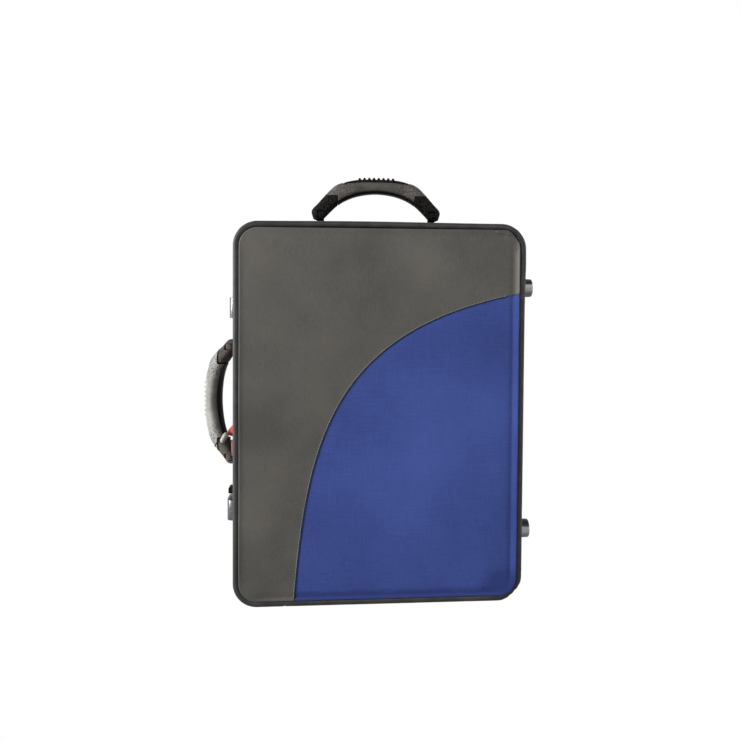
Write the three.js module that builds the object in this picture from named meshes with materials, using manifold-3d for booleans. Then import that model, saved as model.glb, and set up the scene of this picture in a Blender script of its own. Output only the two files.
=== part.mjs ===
// Oboe case: two padded half shells, hinged on one long side, with two snap latches and a
// carrying handle on the other long side and a second carrying handle on the top end.
// Millimetres, +Z up. The decorated lid faces -Y, the hinges are at +X, the latches at -X.
// The origin is on the underside of the main shell, at the middle of its width and depth.

import * as THREE from "three";
import { mergeVertices } from "three/addons/utils/BufferGeometryUtils.js";
import Module from "manifold-3d";

const wasm = await Module();
wasm.setup();

// Whole case
const case_width = 300;
const case_height = 396;
const lid_depth = 45;
const base_depth = 50;
const corner_radius = 25;
const parting_gap = 0.3;
const seat_gap = 0.3;
const overrun = 2;

// Shell boards
const wall = 5;
const face_board = 4;
const face_rebate = 4;

// Bound edges of both faces
const binding_diameter = 7.2;
const binding_flat = 0.8;

// Padded face panels
const panel_crown = 3.4;
const panel_edge_round = 2.4;
const cloth_drop = 0.5;
const seam_gap = 0.3;
const seam_side_share = 0.8207;
const seam_foot_inset = 62;
const seam_side_pull = 198;
const seam_side_fall = 37;
const seam_foot_pull = 181;
const seam_foot_lean = 12.6;

// Lining and dust lip
const lip_thickness = 1.8;
const lip_stand = 6;
const pad_thickness = 13;
const pad_edge_round = 4;

// Fitted insert
const insert_drop = 2;
const insert_border = 13;
const insert_divider = 12;
const recess_depth = 32;
const recess_radius = 8;
const pocket_height = 88;
const pocket_radius = 5;
const reed_pocket_share = 0.3704;
const lower_joint_share = 0.2238;
const upper_joint_share = 0.1929;
const joint_waist_share = 0.685;
const bell_rim_share = 0.2469;
const bell_neck_share = 0.625;
const bell_length = 128;
const scoop_radius = 21;
const scoop_depth = 20;

// Handles
const handle_half_length = 70.5;
const handle_height = 52;
const handle_half_width = 10.5;
const top_handle_offset = -4;
const side_handle_offset = 3;
const handle_plane_depth = 21;
const handle_lean_angle = 38;
const pivot_height = 12;
const pivot_from_end = 9.5;
const pivot_pin_radius = 1.8;
const pivot_pin_length = 13;
const lug_width = 7;
const lug_radius = 4;
const shank_end_radius = 9;
const core_half_height = 3;
const core_half_width = 5;
const shank_reach = 28;
const grip_end_height = 32;
const bracket_length = 22;
const bracket_width = 24;
const bracket_plate = 2;
const bracket_corner = 4;
const rib_strip_margin = 6.5;
const rib_strip_width = 13;
const rib_strip_seat_rise = 1.2;
const rib_strip_end_thickness = 2;
const rib_strip_thickness = 4.8;
const rib_height = 2.3;
const rib_pitch = 5.25;
const rib_base = 4.4;
const rib_tip = 2.2;
const rib_sink = 1;

// Loop round the lower end of the side handle, and the red strap that hangs from it
const tag_loop_width = 4;
const tag_loop_thickness = 1.4;
const tag_width = 11;
const tag_root_width = 5;
const tag_fan_length = 6;
const tag_length = 15;
const tag_thickness = 2.2;

// Hinges
const hinge_length = 60;
const hinge_offset = 75;
const hinge_leaf_width = 14;
const hinge_leaf = 1.2;
const hinge_barrel_radius = 2.6;
const hinge_pin_radius = 1.3;
const hinge_knuckles = 5;
const hinge_knuckle_gap = 0.4;
const hinge_corner = 3;

// Feet on the hinge side
const foot_radius = 9.8;
const foot_height = 10.6;
const foot_round = 1.8;
const foot_well_radius = 3.4;
const foot_well_depth = 7;
const foot_draft = 0.3;
const foot_lower_from_hinge = 12.6;
const foot_upper_from_hinge = 16.3;
const foot_from_parting = 25;

// Latches
const latch_from_handle = 11;
const latch_half_length = 19;
const latch_plate_depth = 24;
const latch_plate = 1.5;
const latch_corner = 2.5;
const latch_ear = 2;
const latch_pivot_depth = 18;
const latch_pivot_height = 5.5;
const latch_pin_radius = 1.3;
const latch_ear_radius = 3.2;
const latch_parting_clearance = 0.6;
const hasp_length = 21.4;
const hasp_reach = 11.6;
const lower_hasp_peak = 12;
const upper_hasp_peak = 9.6;
const hasp_skin = 2;
const hasp_cheek = 1.6;
const hasp_lift = 2.4;
const striker_length = 16.5;
const striker_reach = 13.5;
const striker_lip_offset = 7.5;
const striker_lip = 1.3;
const striker_lip_height = 4.3;
const striker_lip_length = 11;
const pedestal_depth = 14;
const pedestal_height = 4.2;
const button_length = 6;
const button_depth = 12;
const lower_button_height = 12;
const upper_button_height = 7.2;
const button_travel = 4;
const button_round = 0.8;
const button_stem_length = 3.5;
const button_stem_width = 4;
const nose_width = 2.8;
const nose_height = 1.2;
const nose_reach = 3.5;
const tongue_height = 1.3;
const tongue_reach = 2;

// Places worked out from the sizes above
const parting_y = -base_depth / 2;
const front_y = parting_y - lid_depth;
const back_y = base_depth / 2;
const middle_z = case_height / 2;
const base_floor_y = back_y - face_rebate - face_board;
const lid_floor_y = front_y + face_rebate + face_board;
const binding_inset = binding_diameter + seat_gap;
const liner_inset = wall + seat_gap;
const insert_inset = liner_inset + lip_thickness + seat_gap;
const handle_y = parting_y + handle_plane_depth;
const pivot_reach = handle_half_length - pivot_from_end;
const grip_end_reach = handle_half_length - shank_reach;
const rib_strip_half_length = grip_end_reach - rib_strip_margin;

// Solids and geometry

function solidOf(geometry) {
  const bare = geometry.clone();
  bare.deleteAttribute("normal");
  bare.deleteAttribute("uv");
  const merged = mergeVertices(bare, 1e-4);
  return new wasm.Manifold(
    new wasm.Mesh({
      numProp: 3,
      vertProperties: new Float32Array(merged.getAttribute("position").array),
      triVerts: new Uint32Array(merged.index.array),
    }),
  );
}

function geometryOf(solid) {
  const mesh = solid.getMesh();
  const geometry = new THREE.BufferGeometry();
  geometry.setAttribute("position", new THREE.BufferAttribute(mesh.vertProperties, 3));
  geometry.setIndex(new THREE.BufferAttribute(mesh.triVerts, 1));
  const flat = geometry.toNonIndexed();
  flat.computeVertexNormals();
  return flat;
}

function joined(solids) {
  return solids.reduce((all, next) => all.add(next));
}

function without(solid, cutters) {
  return cutters.reduce((rest, cutter) => rest.subtract(cutter), solid);
}

// Outlines

function roundedOutline(path, left, bottom, right, top, radius) {
  path.moveTo(left + radius, bottom);
  path.lineTo(right - radius, bottom);
  path.absarc(right - radius, bottom + radius, radius, -Math.PI / 2, 0, false);
  path.lineTo(right, top - radius);
  path.absarc(right - radius, top - radius, radius, 0, Math.PI / 2, false);
  path.lineTo(left + radius, top);
  path.absarc(left + radius, top - radius, radius, Math.PI / 2, Math.PI, false);
  path.lineTo(left, bottom + radius);
  path.absarc(left + radius, bottom + radius, radius, Math.PI, 1.5 * Math.PI, false);
  return path;
}

function caseOutline(inset, path = new THREE.Shape()) {
  const half = case_width / 2 - inset;
  return roundedOutline(path, -half, inset, half, case_height - inset, corner_radius - inset);
}

function frameOutline(outer_inset, inner_inset) {
  const frame = caseOutline(outer_inset);
  frame.holes.push(caseOutline(inner_inset, new THREE.Path()));
  return frame;
}

// A block whose outline lies in the XZ plane and which fills the depths from y_low to y_high.
function slab(outline, y_low, y_high, steps = 6) {
  const options = { depth: y_high - y_low, bevelEnabled: false, curveSegments: steps };
  const geometry = new THREE.ExtrudeGeometry(outline, options);
  geometry.rotateX(Math.PI / 2);
  geometry.translate(0, y_high, 0);
  return solidOf(geometry);
}

// A slab whose edges are rounded over on both sides.
function roundedSlab(outline, y_low, y_high, round, segments = 2, steps = 6) {
  const geometry = new THREE.ExtrudeGeometry(outline, {
    depth: y_high - y_low - 2 * round,
    bevelEnabled: true,
    bevelThickness: round,
    bevelSize: round,
    bevelOffset: -round,
    bevelSegments: segments,
    curveSegments: steps,
  });
  geometry.rotateX(Math.PI / 2);
  geometry.translate(0, y_high - round, 0);
  return solidOf(geometry);
}

function boxBetween(x_low, x_high, y_low, y_high, z_low, z_high) {
  const geometry = new THREE.BoxGeometry(x_high - x_low, y_high - y_low, z_high - z_low);
  geometry.translate((x_low + x_high) / 2, (y_low + y_high) / 2, (z_low + z_high) / 2);
  return solidOf(geometry);
}

// A round bar along X between two places.
function barAlongX(radius, x_low, x_high, y, z, sides = 20) {
  const geometry = new THREE.CylinderGeometry(radius, radius, x_high - x_low, sides);
  geometry.rotateZ(Math.PI / 2);
  geometry.translate((x_low + x_high) / 2, y, z);
  return solidOf(geometry);
}

// A plate that lies in the XY plane with rounded corners.
function cornerPlate(x_low, x_high, y_low, y_high, z_low, z_high, radius) {
  const outline = roundedOutline(new THREE.Shape(), x_low, y_low, x_high, y_high, radius);
  const options = { depth: z_high - z_low, bevelEnabled: false, curveSegments: 4 };
  const geometry = new THREE.ExtrudeGeometry(outline, options);
  geometry.translate(0, 0, z_low);
  return solidOf(geometry);
}

// A profile in the YZ plane drawn out along X.
function barOfProfile(profile, x_low, x_high, steps = 6) {
  const options = { depth: x_high - x_low, bevelEnabled: false, curveSegments: steps };
  const geometry = new THREE.ExtrudeGeometry(profile, options);
  geometry.rotateX(Math.PI / 2);
  geometry.rotateZ(Math.PI / 2);
  geometry.translate(x_low, 0, 0);
  return solidOf(geometry);
}

// A closed skin through rings of points, with a fan over each end.
function loft(rings) {
  const sides = rings[0].length;
  const points = rings.flat();
  const faces = [];
  for (let r = 0; r + 1 < rings.length; r++) {
    for (let s = 0; s < sides; s++) {
      const a = r * sides + s;
      const b = r * sides + ((s + 1) % sides);
      faces.push(a, b, b + sides, a, b + sides, a + sides);
    }
  }
  const ends = [rings[0], rings[rings.length - 1]];
  ends.forEach((ring, end) => {
    const middle = new THREE.Vector3();
    ring.forEach((point) => middle.addScaledVector(point, 1 / sides));
    points.push(middle);
    const first = end * (rings.length - 1) * sides;
    for (let s = 0; s < sides; s++) {
      const pair = [first + s, first + ((s + 1) % sides)];
      if (end === 0) pair.reverse();
      faces.push(points.length - 1, ...pair);
    }
  });
  const geometry = new THREE.BufferGeometry().setFromPoints(points);
  geometry.setIndex(faces);
  const solid = solidOf(geometry);
  if (solid.volume() > 0) return solid;
  for (let f = 0; f < faces.length; f += 3) {
    [faces[f], faces[f + 1]] = [faces[f + 1], faces[f]];
  }
  geometry.setIndex(faces);
  return solidOf(geometry);
}

// Shells

function shellHalf(y_open, y_face) {
  const out = Math.sign(y_face - y_open);
  const y_rebate = y_face - out * (binding_diameter + seat_gap);
  const y_board = y_face - out * face_rebate;
  const y_inner = y_board - out * face_board;
  const span = (a, b) => [Math.min(a, b), Math.max(a, b)];
  const ring = slab(caseOutline(0), ...span(y_open, y_rebate));
  const plateau = slab(caseOutline(binding_inset), ...span(y_rebate - out * overrun, y_board));
  const cavity = slab(caseOutline(wall), ...span(y_open - out * overrun, y_inner));
  return without(ring.add(plateau), [cavity]);
}

function binding(y_face) {
  const out = Math.sign(y_face);
  const radius = binding_diameter / 2;
  const bevel = radius - binding_flat / 2;
  const outline = frameOutline(radius - binding_flat / 2, radius + binding_flat / 2);
  const geometry = new THREE.ExtrudeGeometry(outline, {
    depth: binding_flat,
    bevelEnabled: true,
    bevelThickness: bevel,
    bevelSize: bevel,
    bevelSegments: 2,
    curveSegments: 6,
  });
  geometry.rotateX(Math.PI / 2);
  geometry.translate(0, y_face - out * radius + binding_flat / 2, 0);
  return solidOf(geometry);
}

function facePad(y_face, drop) {
  const out = Math.sign(y_face);
  const y_seat = y_face - out * (face_rebate - seat_gap);
  const y_crown = y_seat + out * (panel_crown - drop);
  const y_low = Math.min(y_seat, y_crown);
  const y_high = Math.max(y_seat, y_crown);
  // The back half of the rounded slab lies below the seat and is cut away.
  const depth = panel_crown - drop;
  const low = out < 0 ? y_low : y_low - depth;
  const high = out < 0 ? y_high + depth : y_high;
  const cushion = roundedSlab(caseOutline(binding_inset), low, high, panel_edge_round);
  return cushion.intersect(slab(caseOutline(0), y_low, y_high));
}

// The outline of everything to the right of the seam, pushed outwards by grow.
function clothSide(grow) {
  const half = case_width / 2;
  const foot_x = seam_foot_inset - half - grow;
  const side_z = seam_side_share * case_height + grow;
  const outline = new THREE.Shape();
  outline.moveTo(foot_x, 0);
  outline.bezierCurveTo(
    foot_x + seam_foot_lean,
    seam_foot_pull,
    half - seam_side_pull,
    side_z - seam_side_fall,
    half,
    side_z,
  );
  outline.lineTo(half + overrun, side_z);
  outline.lineTo(half + overrun, -overrun);
  outline.lineTo(foot_x, -overrun);
  return outline;
}

function leatherPanel() {
  const cutter = slab(clothSide(0), front_y - overrun, parting_y, 40);
  return facePad(front_y, 0).subtract(cutter);
}

function clothPanel() {
  const region = slab(clothSide(-seam_gap), front_y - overrun, parting_y, 40);
  return facePad(front_y, cloth_drop).intersect(region);
}

// Lining, dust lip and insert

function linerWall() {
  const outline = frameOutline(liner_inset, liner_inset + lip_thickness);
  return slab(outline, parting_y - lip_stand, base_floor_y - seat_gap);
}

function lidPad() {
  const y_seat = lid_floor_y + seat_gap;
  const round = pad_edge_round;
  const pad = roundedSlab(caseOutline(liner_inset), y_seat - round, y_seat + pad_thickness, round);
  return pad.intersect(slab(caseOutline(0), y_seat, parting_y));
}

// A long recess that is wide over the keys and narrow over both tenons.
function jointRecess(middle_x, width, bottom, top) {
  const half = width / 2;
  const end = joint_waist_share * half;
  const step = half - end;
  const outline = new THREE.Shape();
  const keys_low = bottom + end + step;
  const keys_high = top - end - step;
  outline.moveTo(middle_x - end, bottom + end);
  outline.absarc(middle_x, bottom + end, end, Math.PI, 2 * Math.PI, false);
  const swell = (from, to, z_turn, z_end) =>
    outline.bezierCurveTo(middle_x + from, z_turn, middle_x + to, z_turn, middle_x + to, z_end);
  swell(end, half, keys_low, keys_low + half);
  outline.lineTo(middle_x + half, keys_high - half);
  swell(half, end, keys_high, top - end);
  outline.absarc(middle_x, top - end, end, 0, Math.PI, false);
  swell(-end, -half, keys_high, keys_high - half);
  outline.lineTo(middle_x - half, keys_low + half);
  swell(-half, -end, keys_low, bottom + end);
  return outline;
}

// The bell's recess: a wide rounded rim that tapers to the socket.
function bellRecess(middle_x, rim_width, bottom, top) {
  const rim = rim_width / 2;
  const neck = bell_neck_share * rim;
  const flare = (top - bottom) / 2;
  const outline = new THREE.Shape();
  outline.moveTo(middle_x - neck, bottom + recess_radius);
  outline.quadraticCurveTo(middle_x - neck, bottom, middle_x - neck + recess_radius, bottom);
  outline.lineTo(middle_x + neck - recess_radius, bottom);
  outline.quadraticCurveTo(middle_x + neck, bottom, middle_x + neck, bottom + recess_radius);
  const turn = bottom + flare;
  outline.bezierCurveTo(middle_x + neck, turn, middle_x + rim, turn, middle_x + rim, top - rim);
  outline.absarc(middle_x, top - rim, rim, 0, Math.PI, false);
  const foot_z = bottom + recess_radius;
  outline.bezierCurveTo(middle_x - rim, turn, middle_x - neck, turn, middle_x - neck, foot_z);
  return outline;
}

function insertPlaces() {
  const left = insert_inset - case_width / 2 + insert_border;
  const right = -left;
  const bottom = insert_inset + insert_border;
  const top = case_height - bottom;
  const joints_bottom = bottom + pocket_height + insert_divider;
  const lower_width = lower_joint_share * (right - left);
  const upper_width = upper_joint_share * (right - left);
  const rim_width = bell_rim_share * (right - left);
  const lower_x = left + lower_width / 2;
  const upper_x = left + lower_width + insert_divider + upper_width / 2;
  const bell_x = upper_x + upper_width / 2 + insert_divider + rim_width / 2;
  const long_left = bell_x + rim_width / 2 + insert_divider;
  const reed_left = right - reed_pocket_share * (right - left);
  const widths = { lower_width, upper_width, rim_width };
  const places = { lower_x, upper_x, bell_x, long_left, reed_left };
  return { left, right, bottom, top, joints_bottom, ...widths, ...places };
}

function instrumentInsert() {
  const at = insertPlaces();
  const y_top = parting_y + insert_drop;
  const pocket_top = at.bottom + pocket_height;
  const bell_half = at.rim_width / 2;
  const room = (x_low, z_low, x_high, z_high, radius) =>
    roundedOutline(new THREE.Shape(), x_low, z_low, x_high, z_high, radius);
  const outlines = [
    jointRecess(at.lower_x, at.lower_width, at.joints_bottom, at.top),
    jointRecess(at.upper_x, at.upper_width, at.joints_bottom, at.top),
    bellRecess(at.bell_x, at.rim_width, at.top - bell_length, at.top),
    room(at.bell_x - bell_half, at.joints_bottom, at.bell_x + bell_half,
      at.top - bell_length - insert_divider, pocket_radius),
    room(at.long_left, at.joints_bottom, at.right, at.top, pocket_radius),
    room(at.left, at.bottom, at.reed_left - insert_divider, pocket_top, pocket_radius),
    room(at.reed_left, at.bottom, at.right, pocket_top, pocket_radius),
  ];
  const recesses = outlines.map((outline) => slab(outline, y_top - overrun, y_top + recess_depth, 4));
  const scoop_z = (at.joints_bottom + at.top) / 2;
  const scoop_x = at.lower_x + (at.lower_width + insert_divider) / 2;
  const scoop = new THREE.Shape();
  scoop.absarc(scoop_x, scoop_z, scoop_radius, 0, 2 * Math.PI, false);
  recesses.push(slab(scoop, y_top - overrun, y_top + scoop_depth, 10));
  return without(slab(caseOutline(insert_inset), y_top, base_floor_y - seat_gap), recesses);
}

// Handles, in a frame of their own: X runs along the case's edge, Z stands out of it.

// Places along half the handle, as shares of its half length and height, from the middle out.
const outer_shares = [
  [0, 0.91], [0.34, 0.9], [0.6, 0.868], [0.78, 0.66], [0.91, 0.465], [1.01, 0.3], [0.985, 0.13],
];
const inner_shares = [
  [0, 0.663], [0.27, 0.62], [0.468, 0.525], [0.61, 0.405], [0.73, 0.25], [0.8, 0.15], [0.85, 0.055],
];
const width_shares = [1, 1, 1, 0.94, 0.86, 0.76, 0.6];
const core_share = 0.84;
const rib_seat_share = 0.846;
const ribbed_share = 0.6;
const tag_loop_share = 0.2625;
const section_power = 0.8;

// The curve through places given for one half, from one end of the handle to the other.
function handleCurve(shares) {
  const at = ([x, z], side) => new THREE.Vector3(side * x * handle_half_length, 0, z * handle_height);
  const places = [
    ...shares.slice(1).reverse().map((share) => at(share, -1)),
    ...shares.map((share) => at(share, 1)),
  ];
  return new THREE.CatmullRomCurve3(places, false, "centripetal");
}

// Rings along the handle. The core's section is set by half_height and half_width, and the
// full section, where they are null, is widened by grow. reach stops the rings before the ends.
function handleRings(half_height, half_width, reach, grow = 0, sides = 14, steps = 18) {
  const outer = handleCurve(outer_shares);
  const inner = handleCurve(inner_shares);
  const widths = [...width_shares.slice(1).reverse(), ...width_shares];
  const rings = [];
  for (let i = 0; i <= steps; i++) {
    const along = 0.5 + ((i / steps) - 0.5) * reach;
    const top = outer.getPoint(along);
    const bottom = inner.getPoint(along);
    const middle = top.clone().add(bottom).multiplyScalar(0.5);
    const radial = top.clone().sub(bottom).multiplyScalar(0.5);
    radial.setLength(half_height === null ? radial.length() + grow : half_height);
    const place = along * (widths.length - 1);
    const low = Math.min(Math.floor(place), widths.length - 2);
    const share = THREE.MathUtils.lerp(widths[low], widths[low + 1], place - low);
    const breadth = half_width === null ? handle_half_width * share + grow : half_width;
    const ring = [];
    for (let s = 0; s < sides; s++) {
      const turn = (2 * Math.PI * s) / sides;
      const up = Math.sign(Math.cos(turn)) * Math.abs(Math.cos(turn)) ** section_power;
      const across = Math.sign(Math.sin(turn)) * Math.abs(Math.sin(turn)) ** section_power;
      const point = middle.clone().addScaledVector(radial, up);
      point.y += breadth * across;
      ring.push(point);
    }
    rings.push(ring);
  }
  return rings;
}

// The corner blocks that hold the shanks: below the grip's notch and outside its end.
function shankRegions(grow) {
  const low = grip_end_reach - grow;
  const high = grip_end_height + grow;
  const far = handle_half_length + overrun + overrun;
  const wide = handle_half_width + overrun;
  return [boxBetween(low, far, -wide, wide, 0, high), boxBetween(-far, -low, -wide, wide, 0, high)];
}

const rib_strip_seat = rib_seat_share * handle_height;
const rib_strip_end = rib_strip_seat + rib_strip_end_thickness;
const rib_strip_rise = rib_strip_seat_rise + rib_strip_thickness - rib_strip_end_thickness;

// The space between the strip's curved seat and its crown, widened by grow.
function ribStripOutline(grow) {
  const half = rib_strip_half_length + grow;
  const seat = rib_strip_seat - grow;
  const outline = new THREE.Shape();
  outline.moveTo(-half, seat);
  outline.quadraticCurveTo(0, seat + 2 * rib_strip_seat_rise, half, seat);
  outline.lineTo(half, rib_strip_end);
  outline.quadraticCurveTo(0, rib_strip_end + 2 * rib_strip_rise, -half, rib_strip_end);
  return outline;
}

function ribStrip() {
  const half = rib_strip_width / 2;
  const strip = slab(ribStripOutline(0), -half, half, 12);
  const ribs = [];
  const count = Math.floor((ribbed_share * rib_strip_half_length) / rib_pitch);
  for (let n = -count; n < count; n++) {
    const x = (n + 0.5) * rib_pitch;
    const share = x / rib_strip_half_length;
    const crown = rib_strip_end + rib_strip_rise * (1 - share * share);
    const rib = new THREE.Shape();
    rib.moveTo(-rib_base / 2, -rib_sink);
    rib.lineTo(rib_base / 2, -rib_sink);
    rib.lineTo(rib_tip / 2, rib_height);
    rib.lineTo(-rib_tip / 2, rib_height);
    const options = { depth: rib_strip_width - 2 * rib_sink, bevelEnabled: false };
    const geometry = new THREE.ExtrudeGeometry(rib, options);
    geometry.rotateX(Math.PI / 2);
    geometry.translate(0, half - rib_sink, 0);
    geometry.rotateY((2 * rib_strip_rise * share) / rib_strip_half_length);
    geometry.translate(x, 0, crown);
    ribs.push(solidOf(geometry));
  }
  return joined([strip, ...ribs]);
}

function handleGrip() {
  const full = loft(handleRings(null, null, 1));
  const tunnel_height = core_half_height + seat_gap;
  const tunnel_width = core_half_width + seat_gap;
  const tunnel = loft(handleRings(tunnel_height, tunnel_width, core_share, 0, 8, 12));
  const half = rib_strip_width / 2 + seat_gap;
  const above = rib_strip_half_length + seat_gap;
  const pocket = slab(ribStripOutline(seat_gap), -half, half, 12);
  const low = rib_strip_end - seat_gap;
  const open = boxBetween(-above, above, -half, half, low, handle_height + overrun);
  return without(full, [...shankRegions(seat_gap), tunnel, pocket, open]);
}

function handleCore() {
  const [right, left] = shankRegions(0);
  const full = loft(handleRings(null, null, 1));
  const bar = loft(handleRings(core_half_height, core_half_width, core_share, 0, 8, 12));
  const core = joined([full.intersect(right), full.intersect(left), bar]);
  const slot = lug_width / 2 + seat_gap;
  const wide = handle_half_width + overrun;
  const roof = pivot_height + lug_radius + seat_gap;
  const holes = [-1, 1].flatMap((side) => {
    const middle = side * pivot_reach;
    const bore_low = middle - pivot_from_end - overrun - slot;
    const bore_high = middle + pivot_from_end + overrun + slot;
    return [
      boxBetween(middle - slot, middle + slot, -wide, wide, 0, roof),
      barAlongX(pivot_pin_radius + seat_gap, bore_low, bore_high, 0, pivot_height, 12),
    ];
  });
  return without(core, [...holes, shankUnderside()]);
}

// What lies under the rounded ends of both shanks, round the pivot's axis.
function shankUnderside() {
  const wide = handle_half_width + overrun;
  const far = handle_half_length + overrun;
  const below = boxBetween(-far, far, -wide, wide, 0, pivot_height);
  const round = barAlongX(shank_end_radius, -far - overrun, far + overrun, 0, pivot_height, 18);
  return below.subtract(round);
}

function bracket(side) {
  const middle = side * pivot_reach;
  const half = bracket_length / 2;
  const deep = bracket_width / 2;
  const top = seat_gap + bracket_plate;
  const plate = cornerPlate(middle - half, middle + half, -deep, deep, seat_gap, top, bracket_corner);
  const low = middle - lug_width / 2;
  const high = middle + lug_width / 2;
  const lug = joined([
    barAlongX(lug_radius, low, high, 0, pivot_height, 14),
    boxBetween(low, high, -lug_radius, lug_radius, top - bracket_plate / 2, pivot_height),
  ]);
  const bore = barAlongX(pivot_pin_radius + seat_gap, middle - half, middle + half, 0, pivot_height, 12);
  return without(plate.add(lug), [bore]);
}

function pivotPin(side) {
  const low = side * pivot_reach - pivot_pin_length / 2;
  return barAlongX(pivot_pin_radius, low, low + pivot_pin_length, 0, pivot_height, 12);
}

// The section that the loop goes round: half its height, and a way to set a geometry on it
// with its Z along the section and its origin at the section's middle.
function tagSection() {
  const outer = handleCurve(outer_shares).getPoint(tag_loop_share);
  const inner = handleCurve(inner_shares).getPoint(tag_loop_share);
  const middle = outer.clone().add(inner).multiplyScalar(0.5);
  const set = (geometry) => {
    geometry.rotateY(Math.atan2(outer.x - inner.x, outer.z - inner.z));
    geometry.translate(middle.x, 0, middle.z);
    return solidOf(geometry);
  };
  return { half: outer.distanceTo(inner) / 2, set };
}

// A band that follows the handle's section where the grip meets the lower shank.
function tagLoop() {
  const thick = seat_gap + tag_loop_thickness;
  const band = loft(handleRings(null, null, 1, thick, 10));
  const bore = loft(handleRings(null, null, 1, seat_gap));
  const { half, set } = tagSection();
  const long = 2 * (half + thick + overrun);
  const wide = 2 * (handle_half_width + thick + overrun);
  return band.subtract(bore).intersect(set(new THREE.BoxGeometry(tag_loop_width, wide, long)));
}

// A flat strap, gathered at the loop, that fans out into the finger gap.
function tagStrap() {
  const { half, set } = tagSection();
  const root = tag_root_width / 2;
  const top = -half - 2 * seat_gap - tag_loop_thickness;
  const outline = new THREE.Shape();
  outline.moveTo(-root, top);
  outline.lineTo(-tag_width / 2, top - tag_fan_length);
  outline.lineTo(-tag_width / 2, top - tag_length);
  outline.lineTo(tag_width / 2, top - tag_length);
  outline.lineTo(tag_width / 2, top - tag_fan_length);
  outline.lineTo(root, top);
  const geometry = new THREE.ExtrudeGeometry(outline, { depth: tag_thickness, bevelEnabled: false });
  geometry.rotateX(Math.PI / 2);
  geometry.translate(0, tag_thickness / 2, 0);
  return set(geometry);
}

// Hinges, in a frame with X along the parting line, Y across it and Z out of the wall

function hingeLeaf(side) {
  const half = hinge_length / 2;
  const barrel_z = seat_gap + hinge_barrel_radius + seat_gap;
  const near = side * (hinge_barrel_radius + hinge_knuckle_gap);
  const far = side * hinge_leaf_width;
  const top = seat_gap + hinge_leaf;
  const span = [Math.min(near, far), Math.max(near, far)];
  const plate = cornerPlate(-half, half, ...span, seat_gap, top, hinge_corner / 2);
  const step = hinge_length / hinge_knuckles;
  const own = side > 0 ? 0 : 1;
  const knuckles = [];
  for (let k = own; k < hinge_knuckles; k += 2) {
    const low = -half + k * step + (k > 0 ? hinge_knuckle_gap / 2 : 0);
    const high = -half + (k + 1) * step - (k + 1 < hinge_knuckles ? hinge_knuckle_gap / 2 : 0);
    const reach = side * (hinge_leaf_width / 2);
    knuckles.push(barAlongX(hinge_barrel_radius, low, high, 0, barrel_z, 12));
    knuckles.push(boxBetween(low, high, Math.min(0, reach), Math.max(0, reach), seat_gap + seat_gap, top));
  }
  const bore = barAlongX(hinge_pin_radius + seat_gap, -half - overrun, half + overrun, 0, barrel_z, 8);
  return without(joined([plate, ...knuckles]), [bore]);
}

function hingePin() {
  const barrel_z = seat_gap + hinge_barrel_radius + seat_gap;
  return barAlongX(hinge_pin_radius, -hinge_length / 2, hinge_length / 2, 0, barrel_z, 8);
}

// A round foot standing along Z with a screw well in its tip.
function foot() {
  const profile = [
    new THREE.Vector2(0, seat_gap),
    new THREE.Vector2(foot_radius, seat_gap),
    new THREE.Vector2(foot_radius - foot_draft, foot_height - foot_round),
  ];
  const steps = 2;
  for (let n = 1; n <= steps; n++) {
    const turn = ((n / steps) * Math.PI) / 2;
    const x = foot_radius - foot_draft - foot_round * (1 - Math.cos(turn));
    profile.push(new THREE.Vector2(x, foot_height - foot_round * (1 - Math.sin(turn))));
  }
  profile.push(new THREE.Vector2(foot_well_radius, foot_height));
  profile.push(new THREE.Vector2(foot_well_radius, foot_height - foot_well_depth));
  profile.push(new THREE.Vector2(0, foot_height - foot_well_depth));
  const geometry = new THREE.LatheGeometry(profile, 20);
  geometry.rotateX(Math.PI / 2);
  return solidOf(geometry);
}

// Latches, in a frame with X along the parting line, Y towards the back and Z out of the wall.
// side is +1 where the button lies at +X and -1 where it lies at -X.

function latchSpan(side, low, high) {
  return side > 0 ? [low, high] : [-high, -low];
}

const latch_hasp_low = -latch_half_length + latch_ear + seat_gap;
const latch_hasp_high = latch_hasp_low + hasp_length;
const latch_inner_ear = latch_hasp_high + seat_gap;
const latch_pedestal_low = latch_inner_ear + latch_ear;
const latch_floor = seat_gap + latch_plate;

function earProfile() {
  const profile = new THREE.Shape();
  profile.moveTo(latch_pivot_depth - latch_ear_radius - latch_ear, seat_gap);
  profile.lineTo(latch_pivot_depth + latch_ear_radius + latch_ear, seat_gap);
  profile.lineTo(latch_pivot_depth + latch_ear_radius, latch_pivot_height);
  profile.absarc(latch_pivot_depth, latch_pivot_height, latch_ear_radius, 0, Math.PI, false);
  return profile;
}

function latchBase(side) {
  const plate_span = latchSpan(side, -latch_half_length, latch_half_length);
  const near = latch_parting_clearance;
  const plate = cornerPlate(...plate_span, near, latch_plate_depth, seat_gap, latch_floor, latch_corner);
  const outer_ear = latchSpan(side, -latch_half_length, -latch_half_length + latch_ear);
  const inner_ear = latchSpan(side, latch_inner_ear, latch_inner_ear + latch_ear);
  const pedestal_span = latchSpan(side, latch_pedestal_low, latch_half_length);
  const far = near + pedestal_depth;
  const pedestal = cornerPlate(...pedestal_span, near, far, seat_gap, pedestal_height, latch_corner / 2);
  const slot_low = latch_pedestal_low + nose_reach / 2;
  const slot_length = button_stem_length + button_travel + 2 * seat_gap;
  const slot_span = latchSpan(side, slot_low, slot_low + slot_length);
  const stem_y = near + pedestal_depth / 2;
  const slot_half = button_stem_width / 2 + seat_gap;
  const slot_top = pedestal_height + overrun;
  const slot = boxBetween(...slot_span, stem_y - slot_half, stem_y + slot_half, latch_floor, slot_top);
  const ears = [barOfProfile(earProfile(), ...outer_ear), barOfProfile(earProfile(), ...inner_ear)];
  return without(joined([plate, pedestal, ...ears]), [slot, latchBore()]);
}

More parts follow.
